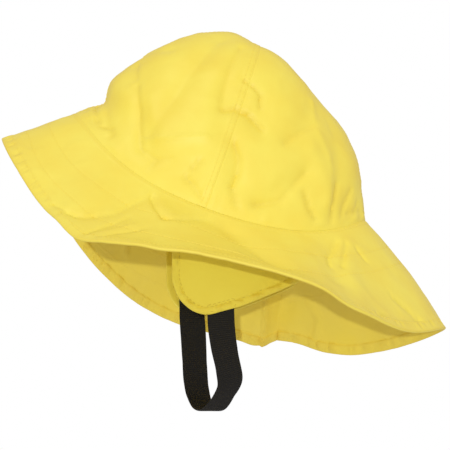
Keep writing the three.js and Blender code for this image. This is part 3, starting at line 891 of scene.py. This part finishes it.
# %% Sewing thread and black webbing
THREAD_YELLOWS = (0.88, 0.72, 0.09, 1), (0.95, 0.81, 0.14, 1)
FLAP_THREAD_YELLOWS = (0.62, 0.47, 0.035, 1), (0.74, 0.6, 0.06, 1)
WEBBING_BLACKS = (0.006, 0.006, 0.005, 1), (0.024, 0.022, 0.019, 1)
RIB_PITCH, WALE_PITCH = 1.5, 1.1


def thread_finish(name, dark, light):
    finish = Finish(name)
    ply = finish.noise(finish.on_object(), 1400, 2)
    normal = finish.bump(ply, strength=0.5, distance=0.0001)
    return finish.show({"Base Color": finish.mix(ply, dark, light), "Roughness": 0.6, "Normal": normal})


def webbing_finish(name):
    finish = Finish(name)
    across, down = finish.on_cloth()
    wales = (across * (2 * np.pi / WALE_PITCH * 1000)).sine().absolute()
    picks = (down * (2 * np.pi / RIB_PITCH * 1000)).sine() * 0.5 + 0.5
    fuzz = finish.noise(finish.on_object(), 1100, 3)
    lightness = (picks * 0.5 + wales * 0.25 + (fuzz - 0.5) * 0.9).clamped()
    normal = finish.bump(wales * 0.8 + fuzz * 0.9, strength=0.7, distance=0.00025)
    base = finish.mix(lightness, *WEBBING_BLACKS)
    return finish.show({"Base Color": base, "Roughness": 0.86, "Normal": normal, "IOR": 1.35})


sewing_thread = thread_finish("sewing_thread", *THREAD_YELLOWS)
flap_thread = thread_finish("flap_thread", *FLAP_THREAD_YELLOWS)
black_webbing = webbing_finish("black_webbing")
print("other finishes:", sewing_thread.name, flap_thread.name, black_webbing.name)

# %% [markdown]
# ## The four gores of the crown
# Each gore is a three-cornered piece of cloth that ends in a point at the top. A sphere cut in four
# would do for a smooth cap. A grid is worked out instead, because it can have narrow columns beside
# the seams, where the lap and the stitches need them, and even columns in the middle.

# %% Gores
BESIDE_SEAM = np.array([0, 0.4, 0.8, 1.3, 1.8, 2.4, 3.1, 3.8, 4.4, 5.0, 5.7, 6.5, 7.4, 8.6, 10])
GORE_MIDDLE = 58
GORE_CLIMBS = np.concatenate(
    [np.linspace(0, 0.035, 7)[:-1], np.linspace(0.035, 0.96, 96)[:-1], np.linspace(0.96, 0.999, 8)]
)
NARROW_GORE, MOST_BESIDE_DEG, PATTERN_CLIMB, OFF_SEAM_DEG = 30, 40, 0.3, 1e-4


def gore_angles(start, climbs):
    """Angle of every column at every climb: fixed distances beside the seams, even between."""
    middle_width = degree_width(start + 45, climbs) * 90
    scale = np.minimum(1, middle_width / NARROW_GORE)
    near = BESIDE_SEAM[:, None] * scale
    most = MOST_BESIDE_DEG * (BESIDE_SEAM / BESIDE_SEAM[-1])[:, None]
    first = np.minimum(start + near / degree_width(start, climbs), start + most)
    last = start + 90 - near[::-1] / degree_width(start + 90, climbs)
    last = np.maximum(last, start + 90 - most[::-1])
    share = np.linspace(0, 1, GORE_MIDDLE + 2)[1:-1, None]
    between = first[-1] + (last[0] - first[-1]) * share
    return np.concatenate([first, between, last])


def make_gore(name, start):
    angles = gore_angles(start, GORE_CLIMBS)
    climbs = np.broadcast_to(GORE_CLIMBS, angles.shape)
    inset = np.where(angles < start + 45, OFF_SEAM_DEG, -OFF_SEAM_DEG)
    outer = crown_face(angles + inset, climbs)
    inner = outer - grid_normals(outer, False) * CROWN_WALL
    across = (angles - start) * degree_width(start + 45, PATTERN_CLIMB)
    cloth_mm = np.stack([across, climbs * slant], axis=-1)
    return cloth_shell(name, worn(outer), worn(inner), cloth_mm, False, [coated_yellow, cotton_back])


GORES = {
    "crown_front_left": 0,
    "crown_back_left": 90,
    "crown_back_right": 180,
    "crown_front_right": 270,
}
pieces = {}
for gore_name, gore_start in GORES.items():
    pieces[gore_name] = make_gore("cloth_" + gore_name, gore_start)

# %% [markdown]
# ## The brim
# The brim is one ring of cloth. A flat ring could be bent by hand, but a grid in code keeps the edge
# and the quilting where the tables put them. Its rows crowd together at the seam, at both rows of
# quilting and at the hem, and the outermost rows turn round the folded edge.

# %% Brim
BRIM_COLUMNS = 700
BESIDE_SEAM_ROWS, BESIDE_ROW, HEM_OUTSIDE, HEM_INSIDE = 4.4, 1.6, 1.5, 1.8
EDGE_TURN, EDGE_ROUND = 1.2, 0.92
ROWS_BETWEEN_STOPS = [8, 10, 3, 3, 9, 3, 3, 11, 5, 6, 3]


def brim_outs(angle):
    """Distances down the cloth for every row of the brim's grid at each angle."""
    length, hem = brim_length(angle), brim_length(angle) - HEM_WIDTH
    stops = [0 * angle, 0 * angle + BESIDE_SEAM_ROWS]
    for name in ("first", "second"):
        row = brim_row(angle, name)
        stops += [row - BESIDE_ROW, row, row + BESIDE_ROW]
    stops += [hem - HEM_OUTSIDE, hem + HEM_INSIDE, length - EDGE_TURN, length]
    outs = []
    for low, high, count in zip(stops, stops[1:], ROWS_BETWEEN_STOPS):
        outs += [low + (high - low) * k / count for k in range(count)]
    return np.stack(outs + [length], axis=1)


def make_brim(name):
    angle = np.arange(BRIM_COLUMNS) * 360 / BRIM_COLUMNS
    outs = brim_outs(angle)
    angles = np.broadcast_to(angle[:, None], outs.shape)
    upper = brim_face(angles, outs)
    normal = grid_normals(upper, True)
    normal *= np.sign((normal * brim_normal(angles, outs / brim_length(angles))).sum())
    to_edge = brim_length(angles) - outs
    wall = BRIM_WALL + (HEM_WALL - BRIM_WALL) * smoothstep(to_edge, HEM_WIDTH + 0.6, HEM_WIDTH - 0.2)
    turned = 1 - np.clip(to_edge / EDGE_TURN, 0, 1)
    sink = wall / 2 * (1 - np.sqrt(1 - turned**2 * EDGE_ROUND))
    lower = upper - normal * (wall - sink)[..., None]
    upper = upper - normal * sink[..., None]
    cloth_mm = np.stack([angles / 360 * seam_length, outs], axis=-1)
    return cloth_shell(name, worn(upper), worn(lower), cloth_mm, True, [coated_yellow, cotton_back])


pieces["brim"] = make_brim("cloth_brim")

# %% [markdown]
# ## The ear flaps
# Each flap is two layers of cloth, sewn face to face and turned, then stitched again a few
# millimetres inside the edge. It hangs from the side seam, inside the brim, and swings in toward the
# cheek. The distance to the cut edge decides where the edge is round and where the stitches pull.

# %% Sizes of the flaps
FLAP_DEPTH, FLAP_WALL, FLAP_TUCK, FLAP_GAP = 75.5, 2.2, 7, 0.6
FLAP_FRONT_DEG, FLAP_BACK_DEG = 77, 147
FLAP_SIDES = {"left": 1, "right": -1}
FLAP_SWING_DEG = {1: 6, -1: 25}
FLAP_ROW, FLAP_SEAM = 5.2, 110
FLAP_SECTIONS = table(
    ["span", "depth"],
    [
        [0.00, 0.80],
        [0.03, 0.92],
        [0.07, 0.98],
        [0.13, 1.01],
        [0.20, 0.99],
        [0.29, 0.90],
        [0.40, 0.79],
        [0.52, 0.66],
        [0.66, 0.53],
        [0.78, 0.42],
        [0.88, 0.25],
        [1.00, 0.07],
    ],
)


def flap_swing(side):
    return np.radians(FLAP_SWING_DEG[side])


def flap_outward(side):
    """Direction straight out of a flap's outer face."""
    return np.array([0, -side * np.cos(flap_swing(side)), -np.sin(flap_swing(side))])


def flap_depth(span):
    return along(FLAP_SECTIONS, "span", "depth", span) * FLAP_DEPTH


# %% The face and the cut edge of a flap
SAME_PLACE = 3e-5
FRONT_STEPS, BOTTOM_STEPS, CROWD_FORWARD = 30, 160, 1.35


def folded_crown(angle, climb):
    """The crown with its main folds only, which the flap is sewn against."""
    point = plain_crown(angle, climb)
    height = smoothstep(climb, 0, LOOSE_CLIMB) * fold_height(point, CROWN_MAIN_FOLDS)
    return point + crown_normal(angle, climb) * height[..., None]


def flap_point(side, span, fall):
    """Outer face of a flap in worn position: side is 1 for the left flap, -1 for the right."""
    span, fall = matched(span, fall)
    turn = FLAP_FRONT_DEG + (FLAP_BACK_DEG - FLAP_FRONT_DEG) * span
    angle = turn if side > 0 else 360 - turn
    climb = np.maximum(-fall, 0) / slant
    normal = crown_normal(angle, climb, folded_crown)
    point = worn(folded_crown(angle, climb) - normal * (CROWN_WALL + FLAP_GAP))
    swing = flap_swing(side)
    below = np.maximum(fall, 0)
    lean = np.stack([0 * below, side * below * np.sin(swing), -below * np.cos(swing)], axis=-1)
    return point + lean


def flap_outline(side):
    """Cut edge of a flap below the seam, down its front and along the bottom."""
    falls = np.linspace(0, flap_depth(0.0), FRONT_STEPS)
    spans = np.linspace(0, 1, BOTTOM_STEPS) ** CROWD_FORWARD
    front = flap_point(side, 0 * falls, falls)
    return np.concatenate([front, flap_point(side, spans, flap_depth(spans))])


def edge_distance(points, outline):
    """Millimetres from each point to the nearest place on a flap's cut edge."""
    nearest = np.full(points.shape[:-1], FAR_AWAY)
    for start, end in zip(outline[:-1], outline[1:]):
        if length_of(end - start) > SAME_PLACE:
            nearest = np.minimum(nearest, length_of(from_line(points, start, end)))
    return nearest


print("depth of a flap at its deepest, mm:", round(flap_depth(FLAP_SECTIONS["span"]).max(), 1))

# %% Ear flaps
FLAP_SPANS = np.concatenate([[0, 0.003, 0.007, 0.012, 0.02, 0.03, 0.042], np.linspace(0.053, 1, 110)])
FLAP_NEAR_EDGE = np.array([14, 11, 9, 7.5, 6.4, 5.8, 5.2, 4.6, 3.8, 2.8, 1.9, 1.2, 0.7, 0.3, 0])
FLAP_TUCK_ROWS, FLAP_MIDDLE_ROWS, FLAP_LOW_SHARE = 4, 20, 0.8
FLAP_EDGE_TURN, FLAP_EDGE_ROUND = 1.3, 0.9
FLAP_SWELL, FLAP_SWELL_SIZE = 0.35, 18
FLAP_PULL, FLAP_PULL_AT, FLAP_PULL_WIDTH = 1.2, 3.2, 2.4
FLAP_ROW_DENT, INNER_SHARE = 0.5, 0.6
FLAP_EDGE_SWELL, FLAP_EDGE_SWELL_AT, FLAP_EDGE_SWELL_WIDTH = 0.3, 2.8, 1.6


def flap_falls(depth):
    """Distances down a flap for every row of its grid; the rows crowd together near the edge."""
    tucks_in = FLAP_TUCK * (1 - np.arange(FLAP_TUCK_ROWS) / FLAP_TUCK_ROWS)
    low_zone = np.minimum(FLAP_NEAR_EDGE[0], depth * FLAP_LOW_SHARE)
    rows = [np.full(depth.shape, -tuck) for tuck in tucks_in]
    rows += [share * (depth - low_zone) for share in np.linspace(0, 1, FLAP_MIDDLE_ROWS)[:-1]]
    rows += [depth - low_zone * near / FLAP_NEAR_EDGE[0] for near in FLAP_NEAR_EDGE]
    return np.stack(rows, axis=1)


def make_flap(name, side):
    falls = flap_falls(flap_depth(FLAP_SPANS))
    spans = np.broadcast_to(FLAP_SPANS[:, None], falls.shape)
    outer = flap_point(side, spans, falls)
    to_edge = edge_distance(outer, flap_outline(side))
    inward = np.array([0.0, side, 0.0])
    gather = 0.5 * unevenness(outer + 15, 4.5) + 1.1 * tucks(outer + 35, 5)
    pull = gather * bump(to_edge - FLAP_PULL_AT, FLAP_PULL_WIDTH) * FLAP_PULL
    soft = FLAP_SWELL * unevenness(outer, FLAP_SWELL_SIZE) * smoothstep(falls, 0, 10)
    dent = FLAP_ROW_DENT * bump(to_edge - FLAP_ROW, ROW_DENT_WIDTH)
    dent -= FLAP_EDGE_SWELL * bump(to_edge - FLAP_EDGE_SWELL_AT, FLAP_EDGE_SWELL_WIDTH)
    turned = 1 - np.clip(to_edge / FLAP_EDGE_TURN, 0, 1)
    rounded = FLAP_WALL / 2 * (1 - np.sqrt(1 - turned**2 * FLAP_EDGE_ROUND))
    inner = outer + inward * (FLAP_WALL - dent * INNER_SHARE - rounded + soft)[..., None]
    outer = outer + inward * (dent + rounded + soft - pull)[..., None]
    cloth_mm = np.stack([spans * FLAP_SEAM, falls], axis=-1)
    return cloth_shell(name, outer, inner, cloth_mm, False, [flap_cotton, coated_yellow])


for side_name, side in FLAP_SIDES.items():
    pieces["ear_flap_" + side_name] = make_flap("cloth_ear_flap_" + side_name, side)

# %% [markdown]
# ## The chin strap
# The strap is a flat elastic webbing with fine ribs across it. Both ends are sewn to the inner faces
# of the flaps and the rest hangs in a loop. A curve with a bevel could draw it. It is swept in code
# along the same route as in the solid model, because the strip turns to lie flat on both flaps, and
# the ribs are then part of the mesh.

# %% Route of the strap
STRAP_WIDTH, STRAP_WALL, STRAP_DROP, STRAP_SEWN_LENGTH, STRAP_GAP = 19.5, 1.6, 68, 13, 0.6
STRAP_SPAN, SPAN_STEP = {1: 0.272, -1: 0.152}, 0.05
STRAP_ROUTE = table(
    ["across", "back", "down", "turn"],
    [
        [-1.00, 0.000, 0.000, 0],
        [-0.98, 0.014, 0.190, -2],
        [-0.95, 0.049, 0.400, -12],
        [-0.89, 0.100, 0.600, -24],
        [-0.74, 0.139, 0.745, -30],
        [-0.42, 0.112, 0.906, -34],
        [0.01, 0.080, 1.030, -24],
        [0.46, 0.060, 1.025, -14],
        [0.75, 0.046, 0.930, 0],
        [0.89, 0.031, 0.765, 8],
        [0.94, 0.021, 0.520, 12],
        [0.97, 0.011, 0.240, 4],
        [1.00, 0.000, 0.000, 0],
    ],
)


def strap_seat(side, above):
    span = STRAP_SPAN[side]
    point = flap_point(side, span, flap_depth(np.array(span)) - above)
    return point + np.array([0, side * (FLAP_WALL + STRAP_GAP + STRAP_WALL / 2), 0])


def strap_across(side):
    span = STRAP_SPAN[side]
    fall = flap_depth(np.array(span)) - STRAP_SEWN_LENGTH
    direction = flap_point(side, span + SPAN_STEP, fall) - flap_point(side, span - SPAN_STEP, fall)
    return direction / length_of(direction)


def strap_points():
    start, end = strap_seat(1, 0), strap_seat(-1, 0)
    share = (STRAP_ROUTE["across"][:, None] + 1) / 2
    route = start + (end - start) * share
    route[:, 0] += STRAP_ROUTE["back"] * STRAP_DROP
    route[:, 2] -= STRAP_ROUTE["down"] * STRAP_DROP
    ends = strap_seat(1, STRAP_SEWN_LENGTH), strap_seat(-1, STRAP_SEWN_LENGTH)
    return np.concatenate([[ends[0]], route, [ends[1]]])


def smooth_route(points, shares):
    """Places and directions on a centripetal curve through the points."""
    first, last = 2 * points[0] - points[1], 2 * points[-1] - points[-2]
    padded = np.concatenate([[first], points, [last]])
    place = shares * (len(points) - 1)
    low = np.minimum(place.astype(int), len(points) - 2)
    u = (place - low)[:, None]
    p0, p1, p2, p3 = (padded[low + k] for k in range(4))
    d0, d1, d2 = (np.sqrt(length_of(b - a))[:, None] for a, b in ((p0, p1), (p1, p2), (p2, p3)))
    out = ((p1 - p0) / d0 - (p2 - p0) / (d0 + d1) + (p2 - p1) / d1) * d1
    into = ((p2 - p1) / d1 - (p3 - p1) / (d1 + d2) + (p3 - p2) / d2) * d1
    square, cube = -3 * p1 + 3 * p2 - 2 * out - into, 2 * p1 - 2 * p2 + out + into
    centre = p1 + out * u + square * u**2 + cube * u**3
    tangent = out + 2 * square * u + 3 * cube * u**2
    return centre, tangent / length_of(tangent)[:, None]


# %% Chin strap
STRAP_STEPS = 900
STRAP_HALF = np.array([0.15, 0.45, 0.7, 0.86, 0.94, 0.985, 1])
STRAP_EDGE = np.concatenate([-STRAP_HALF[::-1], STRAP_HALF])
STRAP_EDGE_POWER, STRAP_EDGE_ROUND, RIB_DEPTH = 12, 0.96, 0.09


def make_strap(name):
    points = strap_points()
    shares = np.linspace(0, 1, STRAP_STEPS)
    centre, tangent = smooth_route(points, shares)
    travelled = np.concatenate([[0], np.cumsum(length_of(np.diff(centre, axis=0)))])
    turns = STRAP_ROUTE["turn"]
    place = np.clip(shares * (len(points) - 1) - 1, 0, len(turns) - 1)
    turn = np.radians(np.interp(place, np.arange(len(turns)), turns))[:, None]
    blend = smoothstep(shares, 0.3, 0.7)[:, None]
    across = strap_across(1) * (1 - blend) + strap_across(-1) * blend
    across -= (across * tangent).sum(1)[:, None] * tangent
    across /= length_of(across)[:, None]
    across = across * np.cos(turn) + np.cross(tangent, across) * np.sin(turn)
    thick = np.cross(tangent, across)
    rib = RIB_DEPTH * np.cos(2 * np.pi * travelled / RIB_PITCH)[:, None]
    round_edge = np.sqrt(1 - np.abs(STRAP_EDGE) ** STRAP_EDGE_POWER * STRAP_EDGE_ROUND)[None, :]
    half = STRAP_WALL / 2 * round_edge - RIB_DEPTH + rib * round_edge
    width = STRAP_WIDTH / 2 * (STRAP_EDGE[None, :] + 0 * travelled[:, None])
    flat = centre[:, None] + across[:, None] * width[..., None]
    raised = thick[:, None] * half[..., None]
    cloth_mm = np.stack([width, travelled[:, None] + 0 * width], axis=-1)
    print("strap length, mm:", round(travelled[-1], 1), "of which sewn:", 2 * STRAP_SEWN_LENGTH)
    return cloth_shell(name, flat + raised, flat - raised, cloth_mm, False, [black_webbing] * 2)


pieces["chin_strap"] = make_strap("webbing_chin_strap")

# %% [markdown]
# ## Stitches
# A sewing machine lays one thread along the top of the cloth and dips it at even steps. Hundreds of
# such stitches are the work of Geometry Nodes: one small bead of thread is set at each step of a
# path, turned along the path and laid flat on the cloth. The path is a line of mesh edges whose
# points carry the direction of the cloth's face.

# %% Node tree for a row of stitches
BEAD_SEGMENTS, BEAD_RINGS, ASKEW = 8, 5, 0.07
STITCH_SOCKETS = {
    "Geometry": ["Path"],
    "Float": ["Pitch", "Length", "Width", "Height"],
    "Int": ["Seed"],
    "Material": ["Thread"],
}


def tree_node(tree, kind, values, settings=None):
    """Adds a node; a value that is another node's socket becomes a link."""
    made = tree.nodes.new(kind)
    for key, value in (settings or {}).items():
        setattr(made, key, value)
    for key, value in values.items():
        if isinstance(value, bpy.types.NodeSocket):
            tree.links.new(value, made.inputs[key])
        else:
            made.inputs[key].default_value = value
    return made.outputs[0]


def stitch_tree():
    tree = bpy.data.node_groups.new("stitch_row", "GeometryNodeTree")
    for kind, names in STITCH_SOCKETS.items():
        for name in names:
            tree.interface.new_socket(name, in_out="INPUT", socket_type="NodeSocket" + kind)
    tree.interface.new_socket("Stitches", in_out="OUTPUT", socket_type="NodeSocketGeometry")

    def node(kind, settings=None, **values):
        return tree_node(tree, kind, values, settings)

    given = tree.nodes.new("NodeGroupInput").outputs
    curve = node("GeometryNodeMeshToCurve", Mesh=given["Path"])
    steps = node("GeometryNodeResampleCurve", {"mode": "LENGTH"}, Curve=curve, Length=given["Pitch"])
    ball = node("GeometryNodeMeshUVSphere", Segments=BEAD_SEGMENTS, Rings=BEAD_RINGS, Radius=0.5)
    size = node("ShaderNodeCombineXYZ", X=given["Length"], Y=given["Width"], Z=given["Height"])
    bead = node("GeometryNodeTransform", Geometry=ball, Scale=size)
    face = node("GeometryNodeInputNamedAttribute", {"data_type": "FLOAT_VECTOR"}, Name="face_up")
    path = node("GeometryNodeInputTangent")
    up = node("FunctionNodeAlignRotationToVector", {"axis": "Z"}, Vector=face)
    along_path = {"axis": "X", "pivot_axis": "Z"}
    ahead = node("FunctionNodeAlignRotationToVector", along_path, Rotation=up, Vector=path)
    placed = node("GeometryNodeInstanceOnPoints", Points=steps, Instance=bead, Rotation=ahead)
    least_and_most = {0: (0, 0, -ASKEW), 1: (0, 0, ASKEW), "Seed": given["Seed"]}
    askew = tree_node(tree, "FunctionNodeRandomValue", least_and_most, {"data_type": "FLOAT_VECTOR"})
    turned = node("GeometryNodeRotateInstances", Instances=placed, Rotation=askew)
    real = node("GeometryNodeRealizeInstances", Geometry=turned)
    painted = node("GeometryNodeSetMaterial", Geometry=real, Material=given["Thread"])
    tree.links.new(painted, tree.nodes.new("NodeGroupOutput").inputs["Stitches"])
    return tree


# %% Sew rows of stitches along paths
STITCH_ROW = stitch_tree()
STITCH_MM = {"Pitch": 3.3, "Length": 2.7, "Width": 0.5, "Height": 0.38}
THREAD_LIFT = 0.05
CROWN_SEED, BRIM_SEED, FLAP_SEED = 3, 5, 7


def sew(name, paths, seed, thread):
    """Stitches along paths; a path is its points in millimetres and the face direction at each."""
    points = np.concatenate([path for path, _ in paths]) / 1000
    ups = np.concatenate([up for _, up in paths])
    edges, start = [], 0
    for path, _ in paths:
        edges += [(number, number + 1) for number in range(start, start + len(path) - 1)]
        start += len(path)
    mesh = bpy.data.meshes.new(name + "_path")
    mesh.from_pydata(points.tolist(), edges, [])
    attribute = mesh.attributes.new("face_up", "FLOAT_VECTOR", "POINT")
    attribute.data.foreach_set("vector", ups.astype(np.float32).ravel())
    line = add_object(name + "_path", mesh)
    modifier = line.modifiers.new("stitches", "NODES")
    modifier.node_group = STITCH_ROW
    values = {key: size / 1000 for key, size in STITCH_MM.items()} | {"Seed": seed, "Thread": thread}
    for item in STITCH_ROW.interface.items_tree:
        if item.in_out == "INPUT" and item.name in values:
            modifier[item.identifier] = values[item.name]
    bpy.context.view_layer.update()
    graph = bpy.context.evaluated_depsgraph_get()
    made = bpy.data.meshes.new_from_object(line.evaluated_get(graph))
    made.name = name
    bpy.data.objects.remove(line)
    made.shade_smooth()
    print(name, "stitches:", len(made.polygons) // (BEAD_SEGMENTS * BEAD_RINGS))
    return add_object(name, made)


# %% Stitches of the crown
SEAM_ROW_CLIMBS = np.linspace(0.02, 0.965, 140)


def seam_row(seam, offset):
    side = LAPPED_SIDE[seam // 90 % 4]
    angles = seam + side * offset / degree_width(seam, SEAM_ROW_CLIMBS)
    normal = crown_normal(angles, SEAM_ROW_CLIMBS)
    return worn(crown_face(angles, SEAM_ROW_CLIMBS) + normal * THREAD_LIFT), worn(normal)


crown_paths = [seam_row(seam, offset) for seam in (0, 90, 180, 270) for offset in LAP_ROWS]
threads = [sew("thread_crown", crown_paths, CROWN_SEED, sewing_thread)]


# %% Stitches of the brim
def brim_line(outs_of):
    outs = outs_of(ring)
    normal = brim_normal(ring, outs / brim_length(ring))
    return worn(brim_face(ring, outs) + normal * THREAD_LIFT), worn(normal)


brim_paths = [
    brim_line(lambda angle: 0 * angle + BRIM_LAP_ROW),
    brim_line(lambda angle: brim_row(angle, "first")),
    brim_line(lambda angle: brim_row(angle, "second")),
    brim_line(lambda angle: brim_length(angle) - HEM_WIDTH + HEM_ROW),
]
threads.append(sew("thread_brim", brim_paths, BRIM_SEED, sewing_thread))

# %% Paths on the flaps
BOX_LOW, BOX_HIGH, BOX_REACH, BOX_STEPS = 1.7, 6.8, 0.075, 12
FACE_SINK, REVERSE_SINK, LEAST_STEP, SEAM_STEPS = 0.22, 0.1, 0.05, 400
LEAST_INSET, LEAST_FALL, LAST_SPAN = 0.97, 1, 0.97


def inset_path(side, inset):
    """Line that runs a fixed distance inside the cut edge of a flap, on its outer face."""
    outline = flap_outline(side)[:, [0, 2]]
    outline = outline[np.concatenate([[True], length_of(np.diff(outline, axis=0)) > LEAST_STEP])]
    along_edge = np.gradient(outline, axis=0)
    along_edge /= length_of(along_edge)[:, None]
    inner = outline + inset * np.stack([-along_edge[:, 1], along_edge[:, 0]], axis=1)
    gaps = length_of(inner[:, None] - outline[None]).min(1)
    inner = inner[gaps > inset * LEAST_INSET]
    spans = np.linspace(0, 1, SEAM_STEPS)
    seam = flap_point(side, spans, 0 * spans)
    span = np.interp(inner[:, 0], seam[:, 0], spans)
    seam_z = np.interp(span, spans, seam[:, 2])
    fall = (seam_z - inner[:, 1]) / np.cos(flap_swing(side))
    keep = (fall > LEAST_FALL) & (span < LAST_SPAN)
    return span[keep], fall[keep]


def flap_rows(side):
    span, fall = inset_path(side, FLAP_ROW)
    ups = np.tile(flap_outward(side), (len(span), 1))
    points = flap_point(side, span, fall)
    face = points + np.array([0, side * FACE_SINK, 0])
    reverse = points + np.array([0, side * (FLAP_WALL - REVERSE_SINK), 0])
    return [(face, ups), (reverse, -ups)]


def box_stitch(side):
    """Rectangle of stitches that holds the strap between the flap's layers."""
    low, high, reach = BOX_LOW, BOX_HIGH, BOX_REACH
    corners = [(-reach, low), (reach, low), (reach, high), (-reach, high), (-reach, low)]
    share = np.linspace(0, 1, BOX_STEPS)
    spans, falls = [], []
    for (s0, a0), (s1, a1) in zip(corners, corners[1:]):
        spans.append(STRAP_SPAN[side] + s0 + (s1 - s0) * share)
        falls.append(flap_depth(spans[-1]) - a0 - (a1 - a0) * share)
    points = flap_point(side, np.concatenate(spans), np.concatenate(falls))
    out = flap_outward(side)
    return points + out * THREAD_LIFT, np.tile(out, (len(points), 1))


# %% Stitches of the flaps
for seed, (side_name, side) in enumerate(FLAP_SIDES.items(), start=FLAP_SEED):
    flap_paths = flap_rows(side) + [box_stitch(side)]
    threads.append(sew("thread_flap_" + side_name, flap_paths, seed, flap_thread))

# %% [markdown]
# ## Tie the pieces to the frame
# Every piece takes the place of its CAD node and moves with the hat's one body.

# %% Ride and replace
for node_name, piece in pieces.items():
    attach(piece, "root")
    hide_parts(node_name)
for piece in threads:
    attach(piece, "root")
print("pieces that ride on the hat's body:", len(pieces) + len(threads))

# %% [markdown]
# ## Floor, light and camera
# The photo is a cut-out on white, lit flat from the front with the lamp a little above the lens: the
# brim throws a narrow, crisp shadow just below its own edge. A sun lamp with a small disc gives that
# shadow. Two weak suns with wide discs lighten the crown from above and from the right, and a
# slightly warm world fills the rest. The camera sees that world as pure white.

# %% Floor
FLOOR_SIZE, FLOOR_Z = 2.2, -0.42
FLOOR_COLOUR, FLOOR_ROUGHNESS = (0.86, 0.9, 0.9, 1), 0.9
floor_mesh = bpy.data.meshes.new("floor")
corners = [(x * FLOOR_SIZE, y * FLOOR_SIZE, FLOOR_Z) for x, y in ((-1, -1), (1, -1), (1, 1), (-1, 1))]
floor_mesh.from_pydata(corners, [], [(0, 1, 2, 3)])
floor_values = {"Base Color": FLOOR_COLOUR, "Roughness": FLOOR_ROUGHNESS}
floor_mesh.materials.append(Finish("pale_floor").show(floor_values))
floor = add_object("floor", floor_mesh)
print("floor below the head opening, mm:", round(-FLOOR_Z * 1000))

# %% Camera
CAMERA_AZIMUTH, CAMERA_ELEVATION, CAMERA_DISTANCE = -4, -8, 1.40625
CAMERA_TARGET, LENS_MM, SENSOR_MM = Vector((0.003375, 0, -0.0435)), 150, 36


def direction(azimuth, elevation):
    a, e = np.radians(azimuth), np.radians(elevation)
    return Vector((np.sin(a) * np.cos(e), -np.cos(a) * np.cos(e), np.sin(e)))


camera_data = bpy.data.cameras.new("camera")
camera_data.lens, camera_data.sensor_width = LENS_MM, SENSOR_MM
camera = add_object("camera", camera_data)
toward_camera = direction(CAMERA_AZIMUTH, CAMERA_ELEVATION)
camera.location = CAMERA_TARGET + toward_camera * CAMERA_DISTANCE
camera.rotation_euler = toward_camera.to_track_quat("Z", "Y").to_euler()
bpy.context.scene.camera = camera
print("camera to target, mm:", round(CAMERA_DISTANCE * 1000))

# %% Lamps
KEY_BESIDE_CAMERA, KEY_ABOVE_CAMERA = -2, 4.9
LAMP_TINT = (0.96, 1, 0.98)
# name, azimuth, elevation, strength and width of the disc in degrees
LAMPS = [
    ("key", CAMERA_AZIMUTH + KEY_BESIDE_CAMERA, CAMERA_ELEVATION + KEY_ABOVE_CAMERA, 0.92, 0.9),
    ("top", -25, 50, 0.46, 25),
    ("right", 30, 8, 0.19, 50),
]
for lamp_name, azimuth, elevation, power, disc_deg in LAMPS:
    lamp = bpy.data.lights.new(lamp_name, "SUN")
    lamp.energy, lamp.angle, lamp.color = power, np.radians(disc_deg), LAMP_TINT
    sun = add_object(lamp_name, lamp)
    sun.rotation_euler = direction(azimuth, elevation).to_track_quat("Z", "Y").to_euler()
print("lamps:", [lamp[0] for lamp in LAMPS])

# %% World
WORLD_STRENGTH, WORLD_TINT = 0.64, (1, 0.88, 0.85, 1)
SEEN_STRENGTH, SEEN_WHITE = 1.0, (1, 1, 1, 1)
world = bpy.data.worlds.new("studio")
world.use_nodes = True
world_tree = world.node_tree
background = world_tree.nodes["Background"]
is_camera = world_tree.nodes.new("ShaderNodeLightPath").outputs["Is Camera Ray"]


def split_by_ray(kind, first_input, lit, seen, target):
    """Gives one input of the world a value for the light on the hat and one for the camera."""
    mix = world_tree.nodes.new("ShaderNodeMix")
    mix.data_type = kind
    world_tree.links.new(is_camera, mix.inputs[0])
    mix.inputs[first_input].default_value = lit
    mix.inputs[first_input + 1].default_value = seen
    result = next(socket for socket in mix.outputs if socket.enabled)
    world_tree.links.new(result, background.inputs[target])


split_by_ray("FLOAT", 2, WORLD_STRENGTH, SEEN_STRENGTH, "Strength")
split_by_ray("RGBA", 6, WORLD_TINT, SEEN_WHITE, "Color")
bpy.context.scene.world = world
bpy.context.scene.view_settings.view_transform = "Standard"
print("world strength on the hat:", WORLD_STRENGTH, "and for the camera:", SEEN_STRENGTH)
